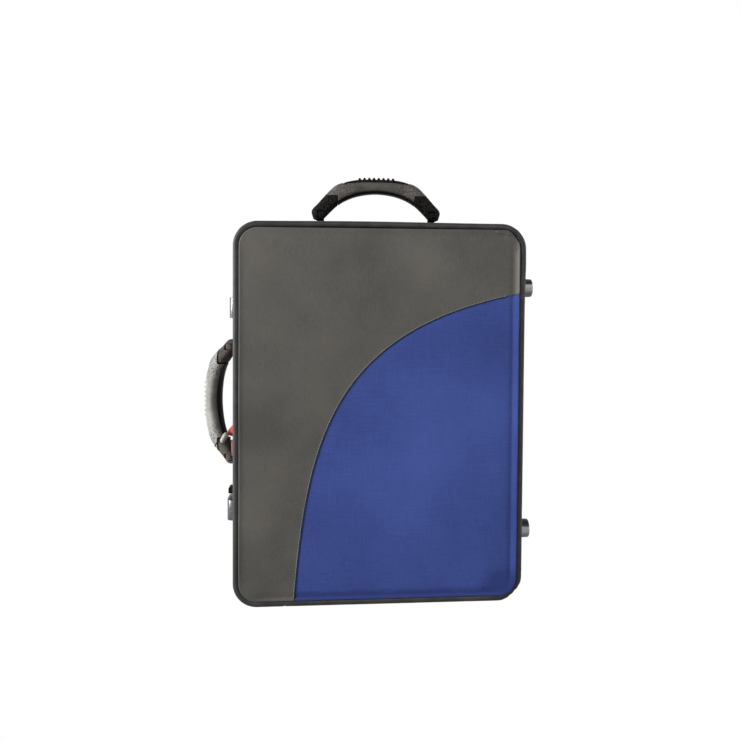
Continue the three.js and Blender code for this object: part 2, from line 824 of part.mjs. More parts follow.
function latchBore() {
  const far = latch_half_length + overrun;
  const radius = latch_pin_radius + seat_gap;
  return barAlongX(radius, -far, far, latch_pivot_depth, latch_pivot_height, 10);
}

// The outer curve of the hasp in the YZ plane: up from its hook, over and down to the barrel.
function haspOuterCurve(profile, reach, peak) {
  const shoulder = peak - hasp_skin;
  profile.moveTo(-reach, hasp_lift);
  profile.bezierCurveTo(-reach, shoulder, -reach + hasp_skin, peak, 0, peak);
  profile.lineTo(latch_pivot_depth / 2, peak);
}

function haspSkinProfile(peak) {
  const inner_reach = hasp_reach - hasp_skin;
  const inner_peak = peak - hasp_skin;
  const barrel_top = latch_pivot_height + latch_ear_radius;
  const profile = new THREE.Shape();
  haspOuterCurve(profile, hasp_reach, peak);
  profile.quadraticCurveTo(latch_pivot_depth - hasp_skin, peak, latch_pivot_depth, barrel_top);
  profile.lineTo(latch_pivot_depth, latch_pivot_height);
  profile.lineTo(latch_pivot_depth - latch_ear_radius, latch_pivot_height + hasp_skin / 2);
  profile.quadraticCurveTo(latch_pivot_depth / 2, inner_peak, 0, inner_peak);
  const corner = inner_peak - hasp_skin / 2;
  profile.bezierCurveTo(-inner_reach + hasp_skin, inner_peak, -inner_reach, corner, -inner_reach, hasp_lift);
  return profile;
}

// The side wall of the hasp, which reaches a little into the skin above it.
function haspCheekProfile(peak) {
  const profile = new THREE.Shape();
  haspOuterCurve(profile, hasp_reach - hasp_skin / 2, peak - hasp_skin / 2);
  profile.lineTo(latch_pivot_depth - latch_ear_radius, latch_pivot_height + hasp_skin);
  profile.lineTo(latch_pivot_depth - latch_ear_radius - seat_gap, hasp_lift);
  return profile;
}

function hasp(side, peak) {
  const low = latch_hasp_low;
  const high = latch_hasp_high;
  const skin = barOfProfile(haspSkinProfile(peak), ...latchSpan(side, low, high), 8);
  const cheeks = [
    barOfProfile(haspCheekProfile(peak), ...latchSpan(side, low, low + hasp_cheek), 8),
    barOfProfile(haspCheekProfile(peak), ...latchSpan(side, high - hasp_cheek, high), 8),
  ];
  const span = latchSpan(side, low, high);
  const barrel = barAlongX(latch_ear_radius, ...span, latch_pivot_depth, latch_pivot_height, 10);
  const near = latch_parting_clearance + seat_gap;
  const tongue_z = pedestal_height - tongue_height;
  const tongue_span = latchSpan(side, high - hasp_cheek, high + tongue_reach - seat_gap);
  const tongue = boxBetween(...tongue_span, near, near + nose_width, tongue_z, pedestal_height);
  return without(joined([skin, barrel, ...cheeks, tongue]), [latchBore()]);
}

function latchPin(side) {
  const span = latchSpan(side, -latch_half_length, latch_inner_ear + latch_ear);
  return barAlongX(latch_pin_radius, ...span, latch_pivot_depth, latch_pivot_height, 10);
}

function button(side, height) {
  const near = latch_parting_clearance;
  const low = latch_pedestal_low + nose_reach / 2 - seat_gap;
  const stem_low = latch_pedestal_low + nose_reach / 2 + seat_gap;
  const stem_y = near + pedestal_depth / 2;
  const cap_low = near + (pedestal_depth - button_depth) / 2;
  const under = pedestal_height + seat_gap;
  const [x_low, x_high] = latchSpan(side, low, low + button_length);
  const shape = new THREE.Shape();
  const outline = roundedOutline(shape, x_low, under, x_high, height, button_round);
  const cap = slab(outline, cap_low, cap_low + button_depth, 3);
  const stem_half = button_stem_width / 2;
  const stem = boxBetween(...latchSpan(side, stem_low, stem_low + button_stem_length),
    stem_y - stem_half, stem_y + stem_half, latch_floor + seat_gap, under + button_round);
  const nose_low = latch_hasp_high + seat_gap;
  const nose_y = near + seat_gap;
  const nose = boxBetween(...latchSpan(side, nose_low, low + button_length / 2),
    nose_y, nose_y + nose_width, under, under + nose_height);
  return joined([cap, stem, nose]);
}

function striker(side) {
  const low = (latch_hasp_low + latch_hasp_high - striker_length) / 2;
  const plate = cornerPlate(...latchSpan(side, low, low + striker_length), -striker_reach,
    -latch_parting_clearance - seat_gap, seat_gap, latch_floor, latch_corner / 2);
  const lip_low = low + (striker_length - striker_lip_length) / 2;
  const lip_near = -striker_lip_offset;
  const lip = boxBetween(...latchSpan(side, lip_low, lip_low + striker_lip_length),
    lip_near - striker_lip, lip_near, latch_floor - latch_plate / 2, striker_lip_height);
  return plate.add(lip);
}

// Materials

function paint(color, roughness, metalness = 0) {
  return new THREE.MeshStandardMaterial({ color, roughness, metalness });
}

const leatherette = () => paint(0x5f5c56, 0.62);
const nylon = () => paint(0x3e4e8c, 0.85);
const edge_vinyl = () => paint(0x2c2c2b, 0.5);
const plush = () => paint(0x1b1c22, 0.95);
const hard_black = () => paint(0x1c1b1a, 0.45);
const grip_rubber = () => paint(0x6b675e, 0.55);
const nickel = () => paint(0xa9aaac, 0.3, 0.9);
const clear_plastic = () => paint(0xb9b8b4, 0.35);
const red_strap = () => paint(0xc9483c, 0.7);

// The scene graph

const part = new THREE.Group();

function place(parent, name, solid, material) {
  const mesh = new THREE.Mesh(geometryOf(solid), material);
  mesh.name = name;
  parent.add(mesh);
  return mesh;
}

function buildShells() {
  const open_gap = parting_gap / 2;
  place(part, "base_shell", shellHalf(parting_y + open_gap, back_y), leatherette());
  place(part, "base_back_panel", facePad(back_y, 0), leatherette());
  place(part, "base_binding", binding(back_y), edge_vinyl());
  place(part, "base_liner_wall", linerWall(), plush());
  place(part, "instrument_insert", instrumentInsert(), plush());
  place(part, "lid_shell", shellHalf(parting_y - open_gap, front_y), leatherette());
  place(part, "lid_leather_panel", leatherPanel(), leatherette());
  place(part, "lid_cloth_panel", clothPanel(), nylon());
  place(part, "lid_binding", binding(front_y), edge_vinyl());
  place(part, "lid_pad", lidPad(), plush());
}

// A group on the wall at -X (out = -1) or +X (out = +1), with its own Z pointing out of it.
function wallGroup(out, y, z) {
  const group = new THREE.Group();
  group.rotation.y = (out * Math.PI) / 2;
  group.position.set((out * case_width) / 2, y, z);
  part.add(group);
  return group;
}

function buildHandle(name, mount, lean_degrees) {
  for (const [side, where] of [[-1, "a"], [1, "b"]]) {
    place(mount, `${name}_bracket_${where}`, bracket(side), hard_black());
    place(mount, `${name}_pin_${where}`, pivotPin(side), nickel());
  }
  const swing = new THREE.Group();
  swing.position.z = pivot_height;
  swing.rotation.x = -THREE.MathUtils.degToRad(lean_degrees);
  mount.add(swing);
  const moving = new THREE.Group();
  moving.position.z = -pivot_height;
  swing.add(moving);
  place(moving, `${name}_core`, handleCore(), hard_black());
  place(moving, `${name}_grip`, handleGrip(), grip_rubber());
  place(moving, `${name}_ribs`, ribStrip(), hard_black());
  return moving;
}

function buildHandles() {
  const top = new THREE.Group();
  top.position.set(top_handle_offset, handle_y, case_height);
  part.add(top);
  buildHandle("top_handle", top, 0);
  const side_z = middle_z + side_handle_offset;
  const moving = buildHandle("side_handle", wallGroup(-1, handle_y, side_z), handle_lean_angle);
  place(moving, "side_handle_tag_loop", tagLoop(), clear_plastic());
  place(moving, "side_handle_tag", tagStrap(), red_strap());
}

function buildHinges() {
  for (const [side, where] of [[-1, "lower"], [1, "upper"]]) {
    const mount = wallGroup(1, parting_y, middle_z + side * hinge_offset);
    place(mount, `hinge_${where}_base_leaf`, hingeLeaf(1), nickel());
    place(mount, `hinge_${where}_lid_leaf`, hingeLeaf(-1), nickel());
    place(mount, `hinge_${where}_pin`, hingePin(), nickel());
  }
}

function buildFeet() {
  for (const [depth, half] of [[-foot_from_parting, "lid"], [foot_from_parting, "base"]]) {
    const y = parting_y + depth;
    const reach = hinge_offset + hinge_length / 2 + foot_radius;
    const lower_z = middle_z - reach - foot_lower_from_hinge;
    const upper_z = middle_z + reach + foot_upper_from_hinge;
    place(wallGroup(1, y, lower_z), `foot_${half}_lower`, foot(), hard_black());
    place(wallGroup(1, y, upper_z), `foot_${half}_upper`, foot(), hard_black());
  }
}

function buildLatches() {
  const reach = pivot_reach + bracket_length / 2 + latch_from_handle + latch_half_length;
  const places = [
    [1, "lower", lower_hasp_peak, lower_button_height],
    [-1, "upper", upper_hasp_peak, upper_button_height],
  ];
  for (const [side, where, peak, button_height] of places) {
    const mount = wallGroup(-1, parting_y, middle_z - side * reach);
    place(mount, `latch_${where}_base`, latchBase(side), nickel());
    place(mount, `latch_${where}_hasp`, hasp(side, peak), nickel());
    place(mount, `latch_${where}_pin`, latchPin(side), nickel());
    place(mount, `latch_${where}_button`, button(side, button_height), hard_black());
    place(mount, `latch_${where}_striker`, striker(side), nickel());
  }
}

buildShells();
buildHandles();
buildHinges();
buildFeet();
buildLatches();

export default part;
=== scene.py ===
"""Looks of the oboe case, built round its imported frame. Sizes are in millimetres until mesh() makes metres."""

from math import acos, copysign, cos, exp, hypot, pi, radians, sin, sqrt

import bmesh
import bpy
import numpy as np
from mathutils import Matrix, Vector, noise


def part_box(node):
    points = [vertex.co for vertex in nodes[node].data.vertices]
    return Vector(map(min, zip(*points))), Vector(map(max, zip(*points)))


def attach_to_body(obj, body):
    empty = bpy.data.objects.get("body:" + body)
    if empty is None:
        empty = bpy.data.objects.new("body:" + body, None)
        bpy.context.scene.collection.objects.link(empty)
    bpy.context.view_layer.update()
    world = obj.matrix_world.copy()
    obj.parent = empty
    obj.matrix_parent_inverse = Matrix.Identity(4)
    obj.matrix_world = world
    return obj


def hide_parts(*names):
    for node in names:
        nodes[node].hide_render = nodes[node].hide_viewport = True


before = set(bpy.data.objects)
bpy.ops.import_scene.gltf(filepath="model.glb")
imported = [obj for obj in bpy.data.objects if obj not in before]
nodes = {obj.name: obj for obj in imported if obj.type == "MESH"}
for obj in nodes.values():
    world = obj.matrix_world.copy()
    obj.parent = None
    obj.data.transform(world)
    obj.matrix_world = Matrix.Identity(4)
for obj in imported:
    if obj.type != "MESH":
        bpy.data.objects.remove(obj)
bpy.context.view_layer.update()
MM = 0.001


def box_mm(node):
    """Lowest and highest corner of a CAD node in millimetres."""
    low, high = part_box(node)
    return np.array(low) / MM, np.array(high) / MM


# Places read from the frame
front_low, front_high = box_mm("lid_binding")
half_width, case_height = front_high[0], front_high[2]
front_y, back_y = front_low[1], box_mm("base_binding")[1][1]
binding_width = front_high[1] - front_low[1]
pad_low, pad_high = box_mm("lid_pad")

# Sizes shared with the CAD part
corner_radius = 25.0
panel_inset = 6.2
seat_inset = 7.5
seat_depth = 3.7
seat_y = front_y + seat_depth
middle_z = case_height / 2
handle_y = -4.0
top_handle_x = -4.0
side_handle_z = middle_z + 3.0
pivot_height = 12.0
handle_lean = 38.0
handle_half_length = 70.5
handle_height = 52.0


# Meshes and pieces


def linked(name, data):
    """A new object in the scene."""
    piece = bpy.data.objects.new(name, data)
    bpy.context.scene.collection.objects.link(piece)
    return piece


def mesh(name, points, faces, smooth=True):
    """A closed object from points in millimetres."""
    data = bpy.data.meshes.new(name)
    data.from_pydata([tuple(float(c) * MM for c in p) for p in points], [], faces)
    data.validate()
    piece = linked(name, data)
    outward(piece)
    if smooth:
        data.polygons.foreach_set("use_smooth", [True] * len(data.polygons))
    return piece


def outward(piece):
    """Turns every face of a closed mesh outwards."""
    work = bmesh.new()
    work.from_mesh(piece.data)
    bmesh.ops.recalc_face_normals(work, faces=work.faces)
    work.to_mesh(piece.data)
    work.free()


def dress(piece, material):
    piece.data.materials.clear()
    piece.data.materials.append(material)


def attach(piece, body, slot, material, *stands_for):
    """Gives a piece its material and body, and hides the CAD nodes that it replaces. slot is not used."""
    dress(piece, material)
    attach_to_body(piece, body)
    if stands_for:
        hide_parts(*stands_for)


def modify(piece, kind, **settings):
    step = piece.modifiers.new(kind.lower(), kind)
    for key, value in settings.items():
        setattr(step, key, value)


def apply_modifiers(piece):
    """Bakes the piece's modifiers into its mesh."""
    graph = bpy.context.evaluated_depsgraph_get()
    baked = bpy.data.meshes.new_from_object(piece.evaluated_get(graph))
    piece.modifiers.clear()
    piece.data = baked


def remeshed(piece, voxel, smoothing):
    """One rounded skin over everything that the piece holds."""
    modify(piece, "REMESH", mode="VOXEL", voxel_size=voxel * MM, use_smooth_shade=True)
    modify(piece, "SMOOTH", iterations=smoothing, factor=0.5)
    apply_modifiers(piece)
    return piece


def edge_round(piece, width, segments=2):
    limit = {"limit_method": "ANGLE", "angle_limit": radians(35)}
    modify(piece, "BEVEL", width=width * MM, segments=segments, harden_normals=True, **limit)


def smooth_node(name, material, width=0.3, segments=2):
    """Shows a CAD node with soft shading and lightly broken edges."""
    piece = nodes[name]
    dress(piece, material)
    piece.data.polygons.foreach_set("use_smooth", [True] * len(piece.data.polygons))
    modify(piece, "WELD", merge_threshold=0.02 * MM)
    edge_round(piece, width, segments)


def cut(piece, cutter, operation="DIFFERENCE"):
    """Cuts the piece with another and removes the cutter."""
    modify(piece, "BOOLEAN", operation=operation, object=cutter, solver="EXACT")
    apply_modifiers(piece)
    bpy.data.objects.remove(cutter)


def block(name, low, high):
    """A plain box, used only as a cutter."""
    corners = [(x, y, z) for x in (low[0], high[0]) for y in (low[1], high[1]) for z in (low[2], high[2])]
    faces = [(0, 1, 3, 2), (4, 6, 7, 5), (0, 4, 5, 1), (2, 3, 7, 6), (0, 2, 6, 4), (1, 5, 7, 3)]
    return mesh(name, corners, faces, smooth=False)


def angles(count, shift=0.0):
    """Evenly spaced angles round a full turn."""
    return [2 * pi * (k + shift) / count for k in range(count)]


def square_ring(count, shift, *powers):
    """Cosines and sines round a turn, each drawn out by its power towards a square section."""
    ring = [(cos(a), sin(a)) for a in angles(count, shift)]
    return [[copysign(abs(v) ** power, v) for v, power in zip(pair, powers)] for pair in ring]


def tube_faces(rings, sides, closed=False):
    """Quads between rings of points, with end caps unless the rings close on themselves."""
    faces = []
    for r in range(rings if closed else rings - 1):
        here, ahead = r * sides, (r + 1) % rings * sides
        pairs = zip(range(sides), [*range(1, sides), 0])
        faces += [(here + s, here + n, ahead + n, ahead + s) for s, n in pairs]
    caps = [range(sides), range(rings * sides - 1, (rings - 1) * sides - 1, -1)]
    return faces if closed else faces + [tuple(cap) for cap in caps]


def lathe(profile, sides):
    """Points and faces of a profile of (radius, height) turned about Z."""
    points = [(r * cos(a), r * sin(a), h) for r, h in profile for a in angles(sides)]
    return points, tube_faces(len(profile), sides)


def joined(name, parts):
    """One mesh from several lists of points and faces."""
    points, faces = [], []
    for more_points, more_faces in parts:
        faces.extend(tuple(i + len(points) for i in face) for face in more_faces)
        points.extend(more_points)
    return mesh(name, points, faces)


def moved(part, matrix):
    points, faces = part
    return [tuple(matrix @ Vector(p)) for p in points], faces


def shares_of(count):
    """Evenly spaced shares from 0 to 1."""
    return [k / (count - 1) for k in range(count)]


def fbm(x, y, z):
    return noise.fractal(Vector((x, y, z)), 1.0, 2.0, 3)


def swept(path, radius, sides, closed=False):
    """Points and faces of a round bar through places, with one radius or one for each."""
    path = [Vector(p) for p in path]
    radii = radius if isinstance(radius, list) else [radius] * len(path)
    count, points, side = len(path), [], None
    for i, (place, size) in enumerate(zip(path, radii)):
        before = path[i - 1] if closed or i > 0 else place
        after = path[(i + 1) % count] if closed or i < count - 1 else place
        forward = (after - before).normalized()
        if side is None:
            side = forward.orthogonal().normalized()
        side = (side - forward * side.dot(forward)).normalized()
        across = forward.cross(side)
        points += [place + (side * cos(a) + across * sin(a)) * size for a in angles(sides)]
    return points, tube_faces(count, sides, closed)


def ribbon(path, wide, halves, thick):
    """Points and faces of a flat strap along a path, with its half widths along wide."""
    points = []
    for i, (place, half) in enumerate(zip(path, halves)):
        before, after = Vector(path[max(i - 1, 0)]), Vector(path[min(i + 1, len(path) - 1)])
        forward = (after - before).normalized()
        across = Vector(wide)
        across = (across - forward * across.dot(forward)).normalized()
        up = forward.cross(across)
        for flat, raised in square_ring(16, 0.5, 0.35, 0.5):
            points.append(Vector(place) + across * (flat * half) + up * raised * thick / 2)
    return points, tube_faces(len(path), 16)


# Materials


def linear(colour):
    """An sRGB colour in 0 to 255 as linear RGBA."""
    steps = [c / 255 for c in colour]
    return (*[c / 12.92 if c <= 0.04045 else ((c + 0.055) / 1.055) ** 2.4 for c in steps], 1.0)


class Graph:
    """Wires the nodes of one material or world."""

    def __init__(self, holder, output="ShaderNodeOutputMaterial"):
        self.holder = holder
        holder.use_nodes = True
        self.tree = holder.node_tree
        self.tree.nodes.clear()
        self.output = self.add(output)
        if isinstance(holder, bpy.types.Material):
            self.coordinates = self.add("ShaderNodeTexCoord")
            self.place = self.coordinates.outputs["Object"]

    def add(self, kind, inputs=(), **settings):
        """A node with its settings, and with its inputs wired or constant."""
        node = self.tree.nodes.new(kind)
        for key, value in settings.items():
            setattr(node, key, value)
        for key, value in dict(inputs).items():
            if isinstance(value, bpy.types.NodeSocket):
                self.tree.links.new(value, node.inputs[key])
            elif value is not None:
                node.inputs[key].default_value = value
        return node

    def end(self, shader):
        self.tree.links.new(shader, self.output.inputs["Surface"])
        return self.holder

    def axes(self):
        """The object's x, y and z in metres."""
        return self.add("ShaderNodeSeparateXYZ", {0: self.place}).outputs

    def stretched(self, scale):
        """The object's coordinates, scaled along each axis."""
        return self.add("ShaderNodeMapping", {"Vector": self.place, "Scale": scale}).outputs[0]

    def noise(self, size, detail=2.0, roughness=0.5, vector=None):
        """Noise whose features are about size millimetres across."""
        inputs = {"Vector": vector or self.place, "Scale": 1 / (size * MM), "Detail": detail}
        return self.add("ShaderNodeTexNoise", {**inputs, "Roughness": roughness}).outputs[0]

    def cells(self, size):
        """Distance to the nearest of scattered points about size millimetres apart."""
        inputs = {"Vector": self.place, "Scale": 1 / (size * MM)}
        return self.add("ShaderNodeTexVoronoi", inputs, feature="F1").outputs["Distance"]

    def wave(self, pitch, axis):
        """Smooth, slightly uneven bands of the given pitch in millimetres along one axis."""
        scale = pi / (10 * pitch * MM)
        inputs = {"Vector": self.place, "Scale": scale, "Distortion": 0.6, "Detail": 1.0}
        settings = {"wave_type": "BANDS", "bands_direction": axis, "wave_profile": "SIN"}
        return self.add("ShaderNodeTexWave", inputs, **settings).outputs["Fac"]

    def math(self, operation, a, b=0.0, clamp=False):
        return self.add("ShaderNodeMath", {0: a, 1: b}, operation=operation, use_clamp=clamp).outputs[0]

    def sum(self, a, b, clamp=False):
        return self.math("ADD", a, b, clamp)

    def times(self, a, b):
        return self.math("MULTIPLY", a, b)

    def range(self, value, low, high, to_low=0.0, to_high=1.0, **settings):
        inputs = enumerate((value, low, high, to_low, to_high))
        return self.add("ShaderNodeMapRange", inputs, **settings).outputs[0]

    def blend(self, fac, first, second):
        """A colour between two sRGB colours. The first may be wired instead."""
        if not isinstance(first, bpy.types.NodeSocket):
            first = linear(first)
        inputs = {0: fac, 6: first, 7: linear(second)}
        return self.add("ShaderNodeMix", inputs, data_type="RGBA").outputs[2]

    def beyond(self, axis, middle, near, far):
        """A share that grows from 0 to 1 with the distance along an axis from a middle place."""
        away = self.math("ABSOLUTE", self.math("SUBTRACT", self.axes()[axis], middle * MM))
        return self.range(away, near * MM, far * MM)

    def patches(self, spots):
        """Painted light and shade: slow changes of tone round spots of x, z, reach and tone."""
        flat, total = self.stretched((1, 0, 1)), 0.0
        for x, z, reach, tone in spots:
            ends = {0: flat, 1: (x * MM, 0, z * MM)}
            away = self.add("ShaderNodeVectorMath", ends, operation="DISTANCE").outputs["Value"]
            fade = self.range(away, 0.0, reach * MM, tone, 0.0, interpolation_type="SMOOTHSTEP")
            total = self.sum(fade, total)
        return total

    def facing(self, direction):
        """How far the surface faces a direction of the object, from -1 to 1."""
        inputs = {0: self.coordinates.outputs["Normal"], 1: direction}
        return self.add("ShaderNodeVectorMath", inputs, operation="DOT_PRODUCT").outputs["Value"]

    def bump(self, height, depth, normal=None):
        """A bump of the given depth in millimetres, over another where normal is wired."""
        inputs = {"Strength": 1.0, "Distance": depth * MM, "Height": height, "Normal": normal}
        return self.add("ShaderNodeBump", inputs).outputs[0]

    def seen(self):
        """1 for rays from the camera, straight or by gloss or glass, and 0 for those that light the case."""
        rays = self.add("ShaderNodeLightPath").outputs
        straight = self.math("MAXIMUM", rays["Is Camera Ray"], rays["Is Glossy Ray"])
        return self.math("MAXIMUM", straight, rays["Is Transmission Ray"])

    def principled(self, colour, roughness, normal=None, specular=None, sheen=(None, None), metallic=None):
        """A surface. What is None stays as the shader has it."""
        looks = {"Base Color": colour, "Roughness": roughness, "Normal": normal, "Metallic": metallic}
        looks |= {"Specular IOR Level": specular, "Sheen Weight": sheen[0], "Sheen Roughness": sheen[1]}
        return self.add("ShaderNodeBsdfPrincipled", looks).outputs[0]

    def finish(self, *looks, **more_looks):
        return self.end(self.principled(*looks, **more_looks))


def material_graph(name):
    return Graph(bpy.data.materials.new(name))


# Painted light and shade on the front, where the padding swells and rolls and where its corners fall into shadow: x,
# z, reach and tone
leather_painted_shading = (
    (45, 352, 42, 0.6), (-15, 368, 30, -0.3), (-125, 190, 52, -0.5), (-134, 100, 44, 0.45),
    (105, 384, 60, -0.4), (-125, 384, 50, 0.3), (-97, 14, 22, 0.4),
)
# Painted light along the left binding, and painted shade at its right corners
vinyl_painted_shading = ((145, 7, 34, -1.6), (140, 394, 14, -0.4), (-150, 200, 190, 0.3))
# Painted light and shade where the cloth swells, and a painted shadow in the lower right corner
nylon_painted_shading = (
    (60, 165, 120, 0.42), (115, 200, 60, 0.3), (20, 100, 90, 0.26), (138, 100, 48, -0.15),
    (131, 12, 34, -1.2),
)
# Where the painted highlight on the leatherette's rolled right edge lies, and where the painted shade along the
# cloth's foot ends, in metres
painted_highlight_x, painted_highlight_z, painted_foot_shade_z = (0.1385, 0.142), (0.385, 0.37), (0.009, 0.017)


def leatherette(name, dark, light, spots=()):
    """Embossed vinyl: a fine mesh over mottling and pores. With spots it also has painted light and shade, and a
    painted highlight on its upper right edge.
    """
    g = material_graph(name)
    mottling, clouds = g.noise(38, 3.0, 0.55), g.noise(120, 1.0)
    upright = g.noise(1.1, 2.0, 0.6, g.stretched((1.0, 1.0, 0.2)))
    across = g.noise(1.3, 2.0, 0.6, g.stretched((0.3, 0.3, 1.0)))
    grain = g.sum(g.times(upright, 0.65), g.times(across, 0.35))
    tone = g.sum(g.times(mottling, 0.5), g.times(clouds, 0.5))
    shade = g.sum(g.range(tone, 0.36, 0.64, 0.12, 0.7), g.range(grain, 0.35, 0.65, -0.06, 0.26), clamp=True)
    if spots:
        shade = g.sum(shade, g.patches(spots))
    colour = g.blend(shade, dark, light)
    if spots:
        x, _, z = g.axes()
        # Painted highlight: the rolled upper right edge turns pale grey where it catches the light
        painted_highlight = g.times(g.range(x, *painted_highlight_x), g.range(z, *painted_highlight_z, 0.0, 0.75))
        colour = g.blend(painted_highlight, colour, (134, 131, 126))
    normal = g.bump(g.sum(grain, g.times(g.cells(0.75), 0.35)), 0.05)
    return g.finish(colour, g.range(grain, 0.3, 0.7, 0.64, 0.54), normal, 0.35)


def woven(name, dark, light, pitch, depth, sheen=0.25, spots=()):
    """Plain weave with uneven yarns. With spots it also has painted light and shade, and painted shade along its
    foot.
    """
    g = material_graph(name)
    warp, weft = (g.math("SUBTRACT", g.wave(pitch, axis), 0.5) for axis in "XZ")
    weave = g.times(warp, weft)
    yarn = g.noise(pitch * 2.2, 2.0, 0.6, g.stretched((1.0, 1.0, 0.12)))
    pick = g.noise(pitch * 2.2, 2.0, 0.6, g.stretched((0.12, 1.0, 1.0)))
    clouds = g.noise(70, 2.0)
    fibre = g.sum(g.times(yarn, 0.5), g.times(pick, 0.5))
    tone = g.sum(g.range(fibre, 0.35, 0.65, 0.2, 0.5), g.range(clouds, 0.35, 0.65, -0.02, 0.2))
    shade = g.sum(tone, g.times(weave, 0.7), clamp=True)
    if spots:
        # Painted shade along the foot, where the padding rolls under
        foot = g.range(g.axes()["Z"], *painted_foot_shade_z, -0.75, 0.0)
        shade = g.sum(g.sum(shade, foot), g.patches(spots))
    relief = g.sum(weave, g.times(fibre, 0.6))
    return g.finish(g.blend(shade, dark, light), 0.78, g.bump(relief, depth), 0.3, (sheen, 0.4))


def edge_vinyl(name, dark, light, spots=()):
    """Smooth bound edge with faint scuffs, with painted light where it faces left and painted shade underneath. Spots
    add more painted light and shade.
    """
    g = material_graph(name)
    slow, scuff = g.noise(17, 2.0), g.noise(1.4, 3.0, 0.7)
    shade = g.sum(g.range(slow, 0.35, 0.65, 0.1, 0.7), g.range(scuff, 0.4, 0.75, 0.0, 0.4), clamp=True)
    # Painted light on the left-facing side, and painted shade on the side that faces down
    shade = g.sum(shade, g.range(g.facing((-1, 0, 0)), 0.15, 0.9, 0.0, 0.55))
    shade = g.math("SUBTRACT", shade, g.range(g.facing((0, 0, -1)), 0.0, 0.6, 0.0, 0.5))
    if spots:
        shade = g.sum(shade, g.patches(spots))
    roughness, normal = g.range(scuff, 0.3, 0.7, 0.46, 0.6), g.bump(scuff, 0.06, g.bump(slow, 0.6))
    return g.finish(g.blend(shade, dark, light), roughness, normal, 0.3)


def plush(name, dark, light):
    """Short pile with brushed patches."""
    g = material_graph(name)
    pile, brushed = g.noise(0.5, 2.0, 0.7), g.noise(34, 3.0, 0.6)
    shade = g.sum(g.range(brushed, 0.35, 0.65, 0.3, 0.65), g.range(pile, 0.3, 0.7, -0.3, 0.3), clamp=True)
    return g.finish(g.blend(shade, dark, light), 0.95, g.bump(pile, 0.35), 0.15, (0.6, 0.35))


def moulded(name, dark, light, dot, dot_depth, roughness, specular, zone=None, dot_colour=None, inner=None,
            dot_reach=(0.2, 0.55), dot_share=0.55):
    """Stippled plastic, with its dots only beyond a zone if one is given. inner gives the share of black for painted
    shade.
    """
    g = material_graph(name)
    slow, fine = g.noise(14, 2.0), g.noise(0.35, 2.0)
    dots = g.range(g.cells(dot), *dot_reach, 1.0, 0.0)
    if zone:
        dots = g.times(dots, g.beyond(*zone))
    shade = g.sum(g.range(slow, 0.35, 0.65, 0.1, 0.6), g.times(dots, 0.45), clamp=True)
    normal = g.bump(dots, dot_depth, g.bump(fine, 0.015))
    colour = g.blend(shade, dark, light)
    if zone:
        colour = g.blend(g.times(dots, dot_share), colour, dot_colour)
    # Painted shade: the grip turns black where it faces away from the light
    if inner:
        colour = g.blend(inner(g), colour, painted_shade_black)
    return g.finish(colour, roughness, normal, specular)


def metal(name, dark, light, roughness):
    """Plated metal with faint draw lines and handling marks."""
    g = material_graph(name)
    lines, marks = g.noise(0.6, 2.0, 0.6, g.stretched((1.0, 1.0, 0.05))), g.noise(5, 4.0, 0.7)
    drawn = g.range(lines, 0.3, 0.7, roughness - 0.08, roughness + 0.08)
    rough = g.sum(drawn, g.range(marks, 0.5, 0.8, 0, 0.15))
    return g.finish(g.blend(g.range(marks, 0.35, 0.7), dark, light), rough, g.bump(lines, 0.01), metallic=1.0)


def gloss_plastic(name, dark, light, roughness, painted_shade_side=None):
    """Plastic with a light haze. Where a side is given, shade is painted on: black where it faces that side, and grey
    on its other side.
    """
    g = material_graph(name)
    haze, fine = g.noise(3.0, 4.0, 0.65), g.noise(0.5, 2.0)
    rough = g.range(haze, 0.3, 0.7, roughness - 0.05, roughness + 0.1)
    colour = g.blend(g.range(haze, 0.35, 0.7), dark, light)
    if painted_shade_side:
        # Painted shade: black on the side that faces the given direction, grey on the opposite side
        colour = g.blend(g.range(g.facing(painted_shade_side), 0.36, 0.5), colour, painted_shade_black)
        colour = g.blend(g.range(g.facing(painted_shade_side), -0.5, -0.15, 0.65, 0.0), colour, (84, 84, 86))
    return g.finish(colour, rough, g.bump(fine, 0.02), 0.25)


def top_underside_painted_shade(g):
    """Painted shade: black on the underside of the top grip."""
    aside = g.math("ABSOLUTE", g.facing((0, 1, 0)))
    return g.times(g.range(aside, 0.8, 0.97, 1.0, 0.0), g.range(g.facing((0, 0, -1)), -0.05, 0.1))


def side_inner_painted_shade(g):
    """Painted shade: black that deepens across the inner face of the side grip, away from the light."""
    light = g.math("POWER", g.range(g.facing((-0.616, -0.788, 0)), 0.06, 0.5), 0.5)
    return g.times(g.math("SUBTRACT", 1.0, light), g.range(g.facing((0.788, -0.616, 0)), 0.5, 0.75))


# Black used for painted shade
painted_shade_black = (4, 4, 4)
leather = leatherette("leatherette", (68, 66, 62), (92, 89, 84), leather_painted_shading)
back_leather = leatherette("back_leatherette", (68, 66, 62), (92, 89, 84))
shell_leather = leatherette("shell_leatherette", (60, 58, 55), (82, 79, 75))
nylon = woven("blue_nylon", (42, 58, 122), (68, 88, 163), 0.7, 0.1, 0.1, nylon_painted_shading)
vinyl = edge_vinyl("edge_vinyl", (16, 16, 16), (54, 54, 53), vinyl_painted_shading)
lining = plush("plush_lining", (22, 22, 27), (46, 46, 54))
top_ends = ("X", top_handle_x, 18, 30)
side_ends = ("Z", side_handle_z, 16, 30)
top_shank_plastic = moulded(
    "top_shank_plastic", (3, 2, 2), (17, 15, 14), 1.6, 0.3, 0.7, 0.08, top_ends, (66, 59, 54)
)
